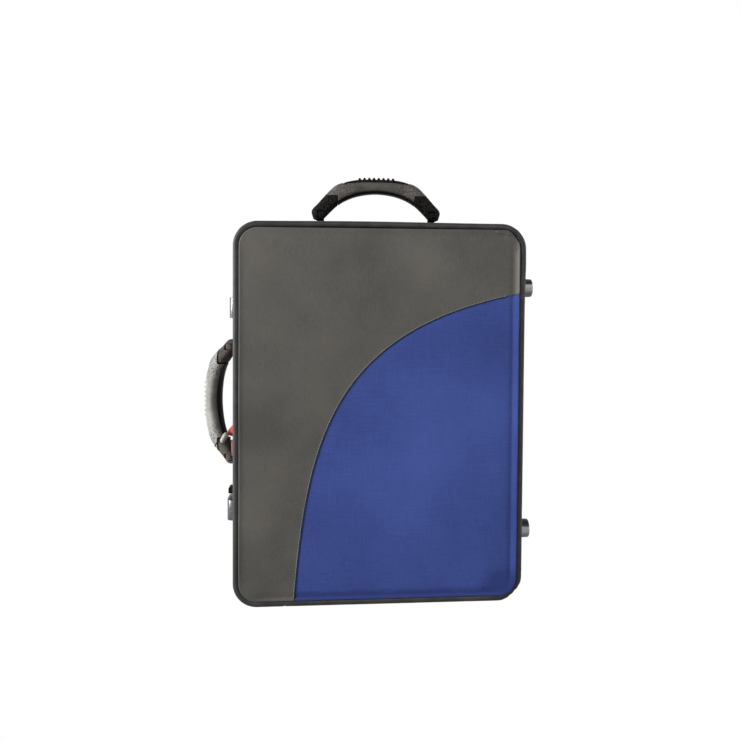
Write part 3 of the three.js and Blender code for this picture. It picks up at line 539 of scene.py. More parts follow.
# The side handle's shank, grip and strip materials are lighter copies of the top handle's, with painted light from
# the left
side_shank_painted_light = moulded(
    "side_shank_painted_light", (52, 47, 44), (84, 77, 72), 1.6, 0.3, 0.7, 0.15, side_ends, (122, 112, 104)
)
top_grip_plastic = moulded(
    "top_grip_plastic", (56, 54, 50), (98, 95, 89), 1.7, 0.2, 0.5, 0.2, top_ends, (136, 130, 122), top_underside_painted_shade
)
side_grip_painted_light_and_shade = moulded(
    "side_grip_painted_light_and_shade", (120, 119, 114), (172, 170, 164), 2.3, 0.2, 0.5, 0.2, side_ends, (22, 21, 19),
    side_inner_painted_shade, (0.2, 0.48), 0.92,
)
side_strip_painted_light = moulded("side_strip_painted_light", (134, 133, 128), (182, 180, 174), 1.4, 0.05, 0.6, 0.15)
black_plastic = moulded("black_plastic", (6, 5, 5), (24, 22, 21), 0.8, 0.05, 0.7, 0.1)
nickel = metal("nickel", (84, 84, 86), (110, 110, 112), 0.36)
# The feet get painted shade: black on top and grey underneath
foot_plastic = gloss_plastic("foot_plastic", (172, 172, 174), (202, 202, 204), 0.36, (0, 0, 1))
clip_plastic = gloss_plastic("clip_plastic", (150, 148, 143), (188, 186, 181), 0.3)
red_webbing = woven("red_webbing", (186, 74, 60), (226, 118, 100), 0.9, 0.2)
pale_webbing = woven("pale_webbing", (176, 112, 102), (214, 150, 138), 0.9, 0.2)
thread = woven("thread", (96, 106, 120), (150, 162, 178), 0.3, 0.05)
# Dark vinyl for the painted shadow along the seam
painted_seam_shadow = edge_vinyl("painted_seam_shadow", (10, 14, 34), (20, 27, 58))


# Face panels

panel_columns = 150
crown = 2.0
rim_share, rim_width = 0.5, 1.2
corner_reach, corner_fade = 34, 16
# Places inwards from a panel's outline, and the padding's height there at the right, left, top and bottom edges
edge_places = (0, 1, 4, 7, 11, 20, 34)
edge_heights = (
    (1.0, 0.95, -0.05, -1.15, -0.3, -0.1, 0),
    (0.3, 0.3, -0.3, -0.4, -0.38, -0.2, 0),
    (0.3, 0.3, -0.1, -0.3, -0.2, -0.1, 0),
    (0.2, 0.25, -0.95, -0.4, 0.25, 0.2, 0),
)
# Low swells of the padding: x, z, half width, half height and rise
swells = (
    (62, 344, 42, 26, 1.1),
    (-116, 232, 34, 34, 0.8),
    (-128, 58, 26, 52, 0.7),
    (122, 60, 34, 70, 0.9),
    (132, 160, 30, 60, 0.9),
    (20, 120, 60, 60, 0.5),
    (70, 180, 34, 60, 0.8),
)
# Creases at the upper right corner: both ends, width and height
creases = (
    (120, 387.4, 135, 384.8, 1.2, 1.5),
    (128, 390.4, 137, 387.4, 1.3, 1.4),
    (135.5, 388.4, 142.6, 379.5, 1.7, -2.6),
    (131, 383, 139, 371, 2.5, 0.9),
)
# The seam's control points, from the right edge to the foot
seam_controls = np.array([[half_width, 324.9], [-48.3, 288.2], [-75.3, 179.6], [-87.9, 0.0]])


def panel_distance(x, z, inset=panel_inset):
    """How far inside the panel's rounded outline a point lies."""
    radius = corner_radius - inset
    qx = np.abs(x) - (half_width - inset - radius)
    qz = np.abs(z - middle_z) - (middle_z - inset - radius)
    outside = np.hypot(np.maximum(qx, 0), np.maximum(qz, 0))
    return radius - outside - np.minimum(np.maximum(qx, qz), 0)


def seam_point(t):
    """Points of the seam between the panels. t is 0 at the right edge and 1 at the foot."""
    t = np.asarray(t)[..., None]
    a, b, c, d = seam_controls
    return a * (1 - t) ** 3 + 3 * b * t * (1 - t) ** 2 + 3 * c * t**2 * (1 - t) + d * t**3


seam_line = seam_point(np.linspace(-0.02, 1.02, 700))


def seam_distance(x, z):
    """Distance to the seam, for whole grids of points."""
    flat = np.stack([x.ravel(), z.ravel()], 1)
    near = np.full(len(flat), 1e9)
    for start in range(0, len(flat), 4000):
        gap = flat[start : start + 4000, None, :] - seam_line[None, :, :]
        near[start : start + 4000] = np.sqrt((gap**2).sum(2)).min(1)
    return near.reshape(x.shape)


def edge_weights(x, z, d):
    """How much each of the right, left, top and bottom edges is the nearest one."""
    reach_x, reach_z = half_width - panel_inset, middle_z - panel_inset
    gaps = (reach_x - x, reach_x + x, reach_z - (z - middle_z), reach_z + (z - middle_z))
    near = [np.clip(1 - (gap - d) / 7, 0, 1) for gap in gaps]
    total = sum(near) + 1e-6
    return [n / total for n in near]


def panel_rise(x, z):
    """Height of the padding over its seat: a rolled rim, the gutters and lips of the edges, and a crown."""
    d = panel_distance(x, z)
    rim = rim_share + (0.97 - rim_share) * (1 - (1 - np.clip(d / rim_width, 0, 1)) ** 2.2) ** 0.5
    shape = 0.0
    for weight, heights in zip(edge_weights(x, z, d), edge_heights):
        around = [np.interp(d + step, edge_places, heights) for step in (-0.8, -0.4, 0, 0.4, 0.8)]
        shape = shape + weight * sum(around) / len(around)
    near_side = np.clip((np.abs(x) - half_width + corner_reach) / corner_fade, 0, 1)
    near_end = np.clip((np.abs(z - middle_z) - middle_z + corner_reach) / corner_fade, 0, 1)
    dome = np.clip(1 - (x / half_width) ** 2, 0, 1) * np.clip(1 - ((z - middle_z) / middle_z) ** 2, 0, 1)
    return seat_depth * rim + shape * (1 - 0.8 * (near_side * near_end)) + crown * dome


def slow_waves(x, z):
    """Soft undulation of the covering over its board."""
    waves = [fbm(a / 60, 0.3, b / 80) for a, b in zip(x.ravel(), z.ravel())]
    swelling = sum(h * np.exp(-(((x - a) / w) ** 2) - ((z - b) / r) ** 2) for a, b, w, r, h in swells)
    return 0.3 * np.array(waves).reshape(x.shape) + swelling


def padding(x, z):
    """How high the padding stands over its seat, without creases and turned edges."""
    return panel_rise(x, z) + slow_waves(x, z)


def corner_creases(x, z):
    """Short folds that gather in the covering round the upper right corner."""
    rise = np.zeros_like(x)
    for x0, z0, x1, z1, width, height in creases:
        dx, dz = x1 - x0, z1 - z0
        along = np.clip(((x - x0) * dx + (z - z0) * dz) / (dx * dx + dz * dz), 0, 1)
        gap = np.hypot(x - x0 - along * dx, z - z0 - along * dz)
        rise = rise + height * np.exp(-((gap / width) ** 2))
    return rise


def panel_rows():
    """Where the seam crosses the rows of the front panels, from the foot up."""
    u = np.linspace(0.0, 1.0, 331)
    seam = seam_point(1 - (0.35 * u + 0.65 * u**1.5))
    keep = (seam[:, 1] > panel_inset + 0.01) & (seam[:, 0] < half_width - panel_inset - 0.3)
    return seam[keep]


def row_limits(z, inset=panel_inset):
    """Leftmost and rightmost place at height z inside the case's outline, inset from it."""
    radius = corner_radius - inset
    edge = half_width - inset
    over = max(inset + radius - z, 0) + max(z - (case_height - inset - radius), 0)
    inward = radius - sqrt(max(radius**2 - min(over, radius) ** 2, 0))
    return inward - edge, edge - inward


def inward_step(x, z, step):
    """A step inwards from the panel's outline, or none for a place away from it."""
    if step == 0 or panel_distance(x, z) > 0.6:
        return 0.0, 0.0
    dx = panel_distance(x + 0.1, z) - panel_distance(x - 0.1, z)
    dz = panel_distance(x, z + 0.1) - panel_distance(x, z - 0.1)
    length = max(hypot(dx, dz), 1e-6)
    return step * dx / length, step * dz / length


def panel_piece(name, x, z, y, back, tuck=0.0):
    """A padded panel from grids of places, tucked in at its rim and closed at its back."""
    rows, columns = x.shape
    front = np.stack([x, y, z], -1).reshape(-1, 3)
    faces = []
    for r in range(rows - 1):
        for a in range(r * columns, (r + 1) * columns - 1):
            faces.append((a, a + 1, a + columns + 1, a + columns))
    last = rows * columns
    rim = [*range(columns), *range(2 * columns - 1, last, columns)]
    rim += [*range(last - 2, last - columns - 1, -1), *range(last - 2 * columns, 0, -columns)]
    edge = []
    for i in rim:
        dx, dz = inward_step(front[i][0], front[i][2], tuck)
        edge.append((front[i][0] + dx, back, front[i][2] + dz))
    for n in range(len(rim)):
        m = (n + 1) % len(rim)
        faces.append((rim[n], last + n, last + m, rim[m]))
    faces.append(tuple(range(last + len(rim) - 1, last - 1, -1)))
    return mesh(name, [*front, *edge], faces)


def padded_panel(name, x, z, rise):
    """A face panel that stands out by rise from its seat."""
    return panel_piece(name, x, z, seat_y - np.maximum(rise, 0.05), seat_y + 0.2, seat_inset - panel_inset)


def spread(near, far):
    """Places from near to far that lie close together at both ends."""
    u = np.linspace(0, 1, panel_columns)
    return near + (far - near) * (0.12 * u + 0.88 * (0.5 - 0.5 * np.cos(pi * u)))


def grid(rows):
    """The x and z of every place, from rows of (places across, height)."""
    return np.array([across for across, _ in rows]), np.array([np.full(len(across), z) for across, z in rows])


def whole_grid(inset, rows, columns, margin):
    """The x and z of places inside the outline, inset from it and closer together towards it."""
    share = 0.5 - 0.5 * np.cos(np.linspace(margin, pi - margin, rows))
    u = 0.5 - 0.5 * np.cos(np.linspace(0, pi, columns))
    lines = []
    for z in inset + (case_height - 2 * inset) * share:
        left, right = row_limits(z, inset)
        lines.append((left + (right - left) * u, z))
    return grid(lines)


def build_leather_panel():
    seam = panel_rows()
    top_z = seam[-1, 1]
    above = top_z + (case_height - panel_inset - 0.02 - top_z) * (1 - (1 - np.linspace(0, 1, 76)[1:]) ** 1.5)
    rows = [(spread(x, row_limits(z)[0])[::-1], z) for x, z in seam]
    rows += [(spread(*row_limits(z)[::-1])[::-1], z) for z in above]
    x, z = grid(rows)
    gap = seam_distance(x, z)
    turned = 0.12 * np.exp(-((gap / 2.4) ** 2)) - 1.1 * np.exp(-gap / 0.2)
    piece = padded_panel("leather_front", x, z, padding(x, z) + corner_creases(x, z) + turned)
    attach(piece, "lid", "leatherette", leather, "lid_leather_panel")


def build_cloth_panel():
    rows = []
    for x, z in panel_rows():
        right = row_limits(z)[1]
        rows.append((spread(min(x - 0.5, right - 0.1), right), z))
    x, z = grid(rows)
    gap = seam_distance(x, z)
    tucked = -0.75 * np.exp(-gap / 1.1) - 0.25 * np.exp(-((gap / 7) ** 2))
    piece = padded_panel("cloth_front", x, z, padding(x, z) + tucked)
    attach(piece, "lid", "nylon", nylon, "lid_cloth_panel")


def build_back_panel():
    """The plain padded panel on the rear face."""
    x, z = whole_grid(panel_inset, 150, 120, 0.02)
    piece = padded_panel("leather_back", x, z, panel_rise(x, z) + slow_waves(-x, z))
    for vertex in piece.data.vertices:
        vertex.co.y = (front_y + back_y) * MM - vertex.co.y
    outward(piece)
    attach(piece, "base", "leatherette", back_leather, "base_back_panel")


def build_seam_stitches():
    """A row of short pale stitches on the turned edge, and below them a dark strip that paints the shadow of the
    leather's edge on the cloth.
    """
    offset, pitch, length, radius, sunk = 0.75, 3.2, 2.7, 0.34, 0.12
    ends = ((-0.5, 0.15), (-0.42, 0.75), (-0.2, 1.0), (0.2, 1.0), (0.42, 0.75), (0.5, 0.15))
    line = seam_point(np.linspace(0.035, 0.985, 900))
    along = np.concatenate([[0], np.cumsum(np.hypot(*np.diff(line, axis=0).T))])
    parts = []
    for n in range(int(along[-1] / pitch)):
        i = int(np.searchsorted(along, n * pitch))
        here, ahead = line[i], line[min(i + 4, len(line) - 1)]
        forward = (ahead - here) / np.linalg.norm(ahead - here)
        side = np.array([forward[1], -forward[0]])
        if side[0] > 0:
            side = -side
        middle = here + side * offset + forward * length / 2
        y = seat_y - float(padding(middle[:1], middle[1:])[0]) - sunk
        points = []
        for share, size in ends:
            x, z = middle + forward * length * share
            for a in angles(6):
                shift = side * sin(a) * (radius * size)
                points.append((x + shift[0], y - cos(a) * (radius * size), z + shift[1]))
        parts.append((points, tube_faces(6, 6)))
    attach(joined("seam_stitches", parts), "lid", "leatherette", thread)
    # A painted shadow: a dark strip along the seam where the leather's edge shades the cloth
    edge = line[::3] + np.array([0.3, -0.3])
    path = [(x, seat_y - up + 0.35, z) for (x, z), up in zip(edge, padding(*edge.T))]
    attach(joined("seam_shadow_strip", [swept(path, 0.55, 8)]), "lid", "leatherette", painted_seam_shadow)


# Bound edges

corner_middle = 7.3
bend_reach = 11


def rounded_path(inset, count):
    """Places, outward directions and running lengths round the case's outline."""
    radius = corner_radius - inset
    w, h = half_width - inset, middle_z - inset
    straight_x, straight_z, arc = 2 * (w - radius), 2 * (h - radius), pi * radius / 2
    total = 2 * (straight_x + straight_z) + 4 * arc
    found = []
    for n in range(count):
        s = total * n / count
        for side in range(4):
            run, off = (straight_x, h) if side % 2 == 0 else (straight_z, w)
            if s < run:
                local, angle = (-run / 2 + s, -off), 0.0
                break
            s -= run
            if s < arc:
                angle = s / radius
                local = (run / 2 + radius * sin(angle), -off + radius - radius * cos(angle))
                break
            s -= arc
        turn = side * pi / 2
        c, k = cos(turn), sin(turn)
        x, z = local[0] * c - local[1] * k, local[0] * k + local[1] * c
        out = (sin(turn + angle), -cos(turn + angle))
        found.append((x, z + middle_z, out, total * n / count))
    return found


def corner_turn(x, z, corner_z):
    """How near a place of the edge is to the middle of a right corner's bend, from 0 to 1."""
    reach = hypot(x - (half_width - corner_middle), z - corner_z)
    return exp(-((reach / bend_reach) ** 2))


def binding_lumps(x, z, running, seed, is_front):
    """Uneven swelling of the edge, as a share of its radius, with the front's butt joint and wrinkles."""
    share = 0.02 * fbm(running / 22, seed, 0.0) + 0.008 * fbm(running / 4, seed + 5, 0.0)
    if is_front:
        share -= 0.16 * exp(-(((x + 97) / 0.8) ** 2)) * (z < 20)
        share += 0.12 * corner_turn(x, z, corner_middle) * sin(running / 1.05)
    return share


def front_shift(x, z):
    """How far the front edge is knocked or bowed outwards from its true line."""
    bow = 0.9 * exp(-(((x + 20) / 90) ** 2)) * (z > case_height - 12)
    bend = corner_turn(x, z, corner_middle)
    knock = -1.5 * bend + 0.45 * bend * sin((x - z) / 2.1)
    pinch = -0.4 * corner_turn(x, z, case_height - corner_middle)
    bulge = 0.9 * exp(-(((z - 356) / 26) ** 2)) * (x > half_width - 12)
    return bow + knock + pinch + bulge


def build_binding(name, body, y_face, out, seed, node):
    """The bound edge: a full round band, a little flatter on the outside of the case."""
    radius = binding_width / 2
    sides, count, is_front = 28, 900, out < 0
    points = []
    for x, z, (ox, oz), running in rounded_path(radius, count):
        size = radius * (1 + binding_lumps(x, z, running, seed, is_front))
        shift = front_shift(x, z) if is_front else 0.0
        for a in angles(sides):
            aside = cos(a) * size
            if aside > 0:
                aside = radius * cos(a) ** 0.86 * min(1, size / radius)
            aside = min(aside, radius - 0.02) + shift
            points.append((x + ox * aside, y_face - out * (radius - sin(a) * size * 0.995), z + oz * aside))
    attach(mesh(name, points, tube_faces(count, sides, closed=True)), body, "edge_vinyl", vinyl, node)


# Handles, drawn upright over the origin and then set on the wall

# Outer and inner line of each bar from its middle to its end, as shares of the half length and of the height
bar_lines = {
    "top_handle": (
        ((0, 0.945), (0.34, 0.93), (0.6, 0.868), (0.78, 0.66), (0.91, 0.465), (1.01, 0.3), (0.985, 0.13)),
        ((0, 0.663), (0.27, 0.62), (0.468, 0.525), (0.61, 0.405), (0.73, 0.25), (0.8, 0.15), (0.85, 0.055)),
    ),
    "side_handle": (
        ((0, 0.865), (0.34, 0.85), (0.6, 0.8), (0.775, 0.585), (0.89, 0.385), (0.975, 0.25), (0.97, 0.12)),
        ((0, 0.635), (0.27, 0.59), (0.468, 0.495), (0.61, 0.372), (0.73, 0.215), (0.8, 0.12), (0.85, 0.04)),
    ),
}
width_shares = [1, 1, 1, 0.94, 0.86, 0.76, 0.6]
bar_power = 0.8
grip_half_width = 9.4
grip_end_reach = 42.5
grip_end_heights = {"top_handle": 32.0, "side_handle": 24.0}
notch_gaps = {"top_handle": 0.4, "side_handle": 1.9}
pivot_reach = 61.0
knuckle_radius, knuckle_half_width, neck_radius = 6.3, 3.45, 4.0
fork_half_width, fork_roof = 3.8, pivot_height + 3.4
strip_drops = {"top_handle": 0.0, "side_handle": 2.4}
strip_half_length, strip_half_width, strip_top = 36.0, 6.5, 50.7
teeth, tooth_pitch, tooth_height = 8, 5.24, 2.1
far_end = handle_half_length + 6


def mirrored(shares):
    """Both halves of a bar's line, in millimetres."""
    ends = [(-x, z) for x, z in shares[:0:-1]] + list(shares)
    return [np.array([x * handle_half_length, z * handle_height]) for x, z in ends]


def on_curve(places, along):
    """A point on the centripetal spline through the places."""
    spot = along * (len(places) - 1)
    i = min(int(spot), len(places) - 2)
    w = spot - i
    p1, p2 = places[i], places[i + 1]
    p0 = places[i - 1] if i > 0 else 2 * places[0] - places[1]
    p3 = places[i + 2] if i + 2 < len(places) else 2 * places[-1] - places[-2]
    d0, d1, d2 = (max(np.linalg.norm(b - a), 1e-6) ** 0.5 for a, b in ((p0, p1), (p1, p2), (p2, p3)))
    t1 = ((p1 - p0) / d0 - (p2 - p0) / (d0 + d1) + (p2 - p1) / d1) * d1
    t2 = ((p2 - p1) / d1 - (p3 - p1) / (d1 + d2) + (p3 - p2) / d2) * d1
    return p1 + t1 * w + (3 * (p2 - p1) - 2 * t1 - t2) * w**2 + (2 * (p1 - p2) + t1 + t2) * w**3


def bar_ring(middle, radial, breadth, sides):
    """Places round a section of a bar, between its outer and inner line."""
    ring = []
    for up, across in square_ring(sides, 0, bar_power, bar_power):
        x, z = middle + radial * up
        ring.append((x, breadth * across, z))
    return ring


def handle_solid(handle, grow=0.0):
    """The whole handle as one swelling bar, widened by grow."""
    outer, inner = (mirrored(shares) for shares in bar_lines[handle])
    widths = width_shares[:0:-1] + width_shares
    sides, steps, points = 40, 110, []
    for n in range(steps + 1):
        along = n / steps
        top, bottom = on_curve(outer, along), on_curve(inner, along)
        middle, radial = (top + bottom) / 2, (top - bottom) / 2
        length = np.linalg.norm(radial)
        radial = radial * (length + grow) / length
        spot = along * (len(widths) - 1)
        low = min(int(spot), len(widths) - 2)
        breadth = grip_half_width * (widths[low] + (widths[low + 1] - widths[low]) * (spot - low)) + grow
        points += bar_ring(middle, radial, breadth, sides)
    return mesh(f"{handle}_bar", points, tube_faces(steps + 1, sides))


def slab(name, x0, x1, z0, z1):
    """A cutter right across a handle."""
    return block(name, (min(x0, x1), -20, z0), (max(x0, x1), 20, z1))


def prism(name, x0, x1, outline):
    """A bar along X with an outline of (y, z)."""
    points = [(x, y, z) for x in (x0, x1) for y, z in outline]
    return mesh(name, points, tube_faces(2, len(outline)), smooth=False)


def roller(name, x0, x1, radius, sides):
    """A round cutter along the line of a handle's pivots."""
    outline = [(radius * sin(a), pivot_height + radius * cos(a)) for a in angles(sides)]
    return prism(name, x0, x1, outline)


def strip_seat(x, drop):
    return 43.8 - drop + 1.1 * (1 - (x / strip_half_length) ** 2)


def grip_skin(handle):
    """The grip: the bar between its square notches, with the pocket for the ribbed strip."""
    grip, gap = handle_solid(handle), notch_gaps[handle]
    for side in (1, -1):
        near = grip_end_reach - gap
        cut(grip, slab("corner", side * near, side * far_end, -2, grip_end_heights[handle] + gap))
    pocket, wide, top = [], strip_half_width + 0.3, 56
    for x in np.linspace(-strip_half_length - 0.3, strip_half_length + 0.3, 25):
        seat = strip_seat(x, strip_drops[handle])
        pocket += [(x, -wide, seat), (x, wide, seat), (x, wide, top), (x, -wide, top)]
    cut(grip, mesh("pocket", pocket, tube_faces(25, 4), smooth=False))
    return remeshed(grip, 0.5, 3)


def strip_skin(handle):
    """The ribbed strip: a crowned bar with a row of rounded teeth across its middle."""
    drop, steps, points = strip_drops[handle], 330, []
    for n in range(steps + 1):
        x = strip_half_length * (2 * n / steps - 1)
        share = abs(x) / strip_half_length
        top = strip_top - drop - 4.2 * share**3.3
        if abs(x) < teeth * tooth_pitch / 2:
            top += tooth_height * min(max(1.6 * sin(pi * x / tooth_pitch) ** 2 - 0.35, 0), 1)
        low, half = strip_seat(x, drop) + 0.2, strip_half_width * (1 - 0.25 * share**8)
        for across, up in square_ring(16, 0.5, 0.45, 0.45):
            points.append((x, across * half, (top + low) / 2 + up * (top - low) / 2))
    return mesh(f"{handle}_strip", points, tube_faces(steps + 1, 16))


def knuckle(name, middle):
    """A rounded lug over a bracket's own, which fills the fork of a shank."""
    start, foot = acos(neck_radius / knuckle_radius), 1.2
    outline = [(-neck_radius, foot)]
    outline += [
        (-knuckle_radius * cos(a), pivot_height + knuckle_radius * sin(a))
        for a in np.linspace(-start, pi + start, 24)
    ]
    outline += [(neck_radius, foot)]
    return prism(name, middle - knuckle_half_width, middle + knuckle_half_width, outline)


def shank_skin(handle):
    """Both shanks, forked over their lugs. Inside the grip the core bar joins them."""
    height = grip_end_heights[handle]
    core = handle_solid(handle, grow=-0.25)
    cut(core, slab("keep", -far_end, far_end, -2, height), "INTERSECT")
    cut(core, slab("middle", -grip_end_reach, grip_end_reach, -3, height + 1))
    for side in (-1, 1):
        ends = side * pivot_reach - fork_half_width, side * pivot_reach + fork_half_width
        cut(core, slab("fork", *ends, -3, fork_roof))
        cut(core, roller("head", *ends, knuckle_radius + 0.15, 32))
    below = slab("below", -80, 80, -4, pivot_height)
    cut(below, roller("barrel", -81, 81, 9, 40))
    cut(core, below)
    return remeshed(core, 0.45, 2)


def side_wall():
    """The matrix from an upright frame to the left wall, in metres."""
    place = Matrix.Translation((-half_width * MM, handle_y * MM, side_handle_z * MM))
    return place @ Matrix.Rotation(-pi / 2, 4, "Y")


def handle_frame(name):
    """The matrix from the handle's own upright frame to the case, in metres."""
    if name == "top_handle":
        return Matrix.Translation((top_handle_x * MM, handle_y * MM, case_height * MM))
    hinge = Matrix.Translation((0, 0, pivot_height * MM))
    lean = Matrix.Rotation(radians(-handle_lean), 4, "X")
    return side_wall() @ hinge @ lean @ hinge.inverted()


def set_in(piece, matrix):
    """Places a piece by moving its points, so that its own frame stays the case's."""
    piece.data.transform(matrix)
    return piece


def build_handle(name, grip_plastic, shank_plastic, strip_plastic):
    """A handle's skins, the black core bar that shows in its notches, and its mounts."""
    placed = handle_frame(name)
    grip, shanks, core, strip = (
        set_in(made, placed)
        for made in (grip_skin(name), shank_skin(name), handle_solid(name, grow=-1.5), strip_skin(name))
    )
    grip.name, shanks.name, core.name = f"{name}_grip_skin", f"{name}_shanks", f"{name}_core_bar"
    for side in (-1, 1):
        near, far = side * (pivot_reach - 14), side * (pivot_reach + 20)
        cut(core, set_in(slab("trim", near, far, -3, grip_end_heights[name] - 4), placed))
    attach(grip, name, "grip", grip_plastic, f"{name}_grip")
    attach(shanks, name, "hard_black", shank_plastic, f"{name}_core")
    attach(core, name, "hard_black", black_plastic)
    attach(strip, name, "hard_black", strip_plastic, f"{name}_ribs")
    wall = placed if name == "top_handle" else side_wall()
    for end, side in (("a", -1), ("b", 1)):
        smooth_node(f"{name}_bracket_{end}", black_plastic, 0.4)
        smooth_node(f"{name}_pin_{end}", nickel, 0.2)
        lug = knuckle(f"{name}_knuckle_{end}", side * pivot_reach)
        edge_round(lug, 0.5)
        attach(set_in(lug, wall), "base", "hard_black", shank_plastic)


# Feet and metalwork


def build_foot(node):
    """A turned foot with a rounded rim, a shallow groove at its root and a screw in its well."""
    low, high = box_mm(node)
    radius, height = (high[2] - low[2]) / 2, high[0] - half_width
    rim, well_radius, well_depth = 1.8, 3.4, 7
    profile = [(radius - 0.5, 0.3), (radius, 0.8), (radius - 0.05, 2.0), (radius - 0.3, height - rim)]
    for turn in (n / 6 * pi / 2 for n in range(1, 7)):
        profile.append((radius - 0.3 - rim * (1 - cos(turn)), height - rim * (1 - sin(turn))))
    profile += [(3.9, height), (3.45, height - 0.5), (well_radius, height - well_depth)]
    to_wall = Matrix.Translation((half_width, (low[1] + high[1]) / 2, (low[2] + high[2]) / 2))
    to_wall = to_wall @ Matrix.Rotation(pi / 2, 4, "Y")
    foot = joined(f"{node}_skin", [moved(lathe(profile, 64), to_wall)])
    body = "lid" if "_lid_" in node else "base"
    attach(foot, body, "hard_black", foot_plastic, node)
    screw_place = to_wall @ Matrix.Translation((0, 0, height - well_depth + 0.05))
    attach(screw_head(f"{node}_screw", 2.9, screw_place), body, "nickel", nickel)


def screw_head(name, radius, matrix):
    """A domed cross-head screw standing along its own Z."""
    profile = [(radius, 0), (radius, 0.35)]
    profile += [(radius * cos(a), 0.35 + 0.9 * sin(a)) for a in np.linspace(0.2, 1.45, 6)]
    head = joined(name, [lathe(profile, 28)])
    arm = radius * 0.62
    for x, y in ((arm, 0.3), (0.3, arm)):
        cut(head, block("cross", (-x, -y, 0.55), (x, y, 2)))
    metres = matrix.copy()
    metres.translation *= MM
    return set_in(head, metres)


def rivet_row(name, body, places, radius, tilt):
    """Low domed rivets. tilt is how far their heads turn about Y from facing up."""
    profile = [(radius, 0)]
    profile += [(radius * cos(a), radius * 0.42 * sin(a)) for a in np.linspace(0.15, 1.4, 6)]
    turn = Matrix.Rotation(radians(tilt), 4, "Y")
    parts = [moved(lathe(profile, 20), Matrix.Translation(p) @ turn) for p in places]
    attach(joined(name, parts), body, "nickel", nickel)


def build_latches():
    for where in ("lower", "upper"):
        for part in ("base", "hasp", "pin", "striker"):
            smooth_node(f"latch_{where}_{part}", nickel)
        smooth_node(f"latch_{where}_button", black_plastic)
        low, high = box_mm(f"latch_{where}_base")
        places = [(high[0] - 1.5, high[1] - 2.6, z) for z in (low[2] + 5, high[2] - 5)]
        rivet_row(f"latch_{where}_rivets", "base", places, 1.5, -90)


def build_hinges():
    for where in ("lower", "upper"):
        for part, body in (("base_leaf", "base"), ("lid_leaf", "lid")):
            node = f"hinge_{where}_{part}"
            smooth_node(node, nickel, 0.2)
            low, high = box_mm(node)
            far_y = high[1] - 3.6 if part == "base_leaf" else low[1] + 3.6
            places = [(half_width + 1.5, far_y, low[2] + k * (high[2] - low[2])) for k in (0.13, 0.5, 0.87)]
            rivet_row(f"{node}_rivets", body, places, 1.9, 90)
        smooth_node(f"hinge_{where}_pin", nickel, 0.15)


def build_bracket_rivets():
    spots = [(along, handle_y + dy) for along in (-7.2, 7.2) for dy in (-8, 8)]
    for end in ("a", "b"):
        x, z = (sum(box_mm(f"{name}_handle_bracket_{end}"))[axis] / 2 for name, axis in (("top", 0), ("side", 2)))
        places = [(x + along, y, case_height + 2.3) for along, y in spots]
        rivet_row(f"top_handle_rivets_{end}", "base", places, 1.5, 0)
        places = [(-half_width - 2.3, y, z + along) for along, y in spots]
        rivet_row(f"side_handle_rivets_{end}", "base", places, 1.5, -90)


# Tag on the side handle

tag_share = 0.2625
tag_grow = 0.2


def tag_ring():
    """Places round the side handle's bar where the tag's cord lies."""
    top, bottom = (on_curve(mirrored(shares), tag_share) for shares in bar_lines["side_handle"])
    half = np.linalg.norm(top - bottom) / 2
    radial = (top - bottom) / (2 * half) * (half + tag_grow)
    return bar_ring((top + bottom) / 2, radial, grip_half_width * 0.95 + tag_grow, 72)


def build_tag():
    """A dark cord round the lower end of the side handle, its grey clip, and the red strap on it."""
    cord = joined("tag_cord", [swept(tag_ring(), 0.5, 10, closed=True)])
    set_in(cord, handle_frame("side_handle"))
    attach(cord, "side_handle", "hard_black", black_plastic, "side_handle_tag_loop")
    ends = Vector((-172.4, -7.8, 155.6)), Vector((-166.2, -6.4, 166.8))
    shares = shares_of(22)
    sizes = [3.1 * sqrt(max(1 - abs(2 * s - 1) ** 3.6, 0.02)) for s in shares]
    clip = joined("tag_clip", [swept([ends[0].lerp(ends[1], s) for s in shares], sizes, 18)])
    attach(clip, "side_handle", "clear_plastic", clip_plastic)
    shares = shares_of(16)
    path = [(-165.6 + 9.4 * s, -4.2 + 0.6 * sin(5 * s), 165.2 + 3.6 * s) for s in shares]
    fan = ribbon(path, (-0.25, 0.1, 1), [2.2 + 6.2 * s**0.8 for s in shares], 1.3)
    attach(joined("tag_strap", [fan]), "side_handle", "red_strap", red_webbing, "side_handle_tag")
    path = [(-160.4, -6.5, 159), (-159.4, -8.5, 154), (-158.8, -9.5, 149), (-158.5, -9.8, 145.5), (-158.4, -9.8, 142)]
    tail = ribbon(path, (1, 0.1, 0.1), [1.7, 2.1, 2.3, 2.3, 1.9], 0.9)
    attach(joined("tag_strap_end", [tail]), "side_handle", "red_strap", pale_webbing)


# Inside


def build_insert():
    """A soft rounded copy of the fitted insert, in place of the solid one."""
    insert = remeshed(linked("insert_plush", nodes["instrument_insert"].data.copy()), 1.7, 5)
    attach(insert, "base", "plush", lining, "instrument_insert")
    smooth_node("base_liner_wall", lining, 0.5)


def build_lid_pad():
    """The cushion in the lid: a crowned pad with rolled edges and two sewn channels."""
    inset = half_width - pad_high[0]
    x, z = whole_grid(inset, 130, 100, 0.03)
    d = panel_distance(x, z, inset)
    thick = (pad_high[1] - pad_low[1]) * (0.35 + 0.65 * (1 - (1 - np.clip(d / 16, 0, 1)) ** 2.2) ** 0.5)
    channels = sum(1.8 * np.exp(-(((x - s * 58) / 2.2) ** 2)) for s in (-1, 1))
    rise = thick - channels * (d > 10) + 0.6 * slow_waves(x, z) - 0.6
    piece = panel_piece("lid_cushion", x, z, pad_low[1] + rise, pad_low[1] + 0.1)
    attach(piece, "lid", "plush", lining, "lid_pad")


# Setting

white = (1, 1, 1, 1)
# Half width and half depth of the floor that takes the full shadow, in metres
shadow_half_width, shadow_half_depth = 0.135, 0.0515


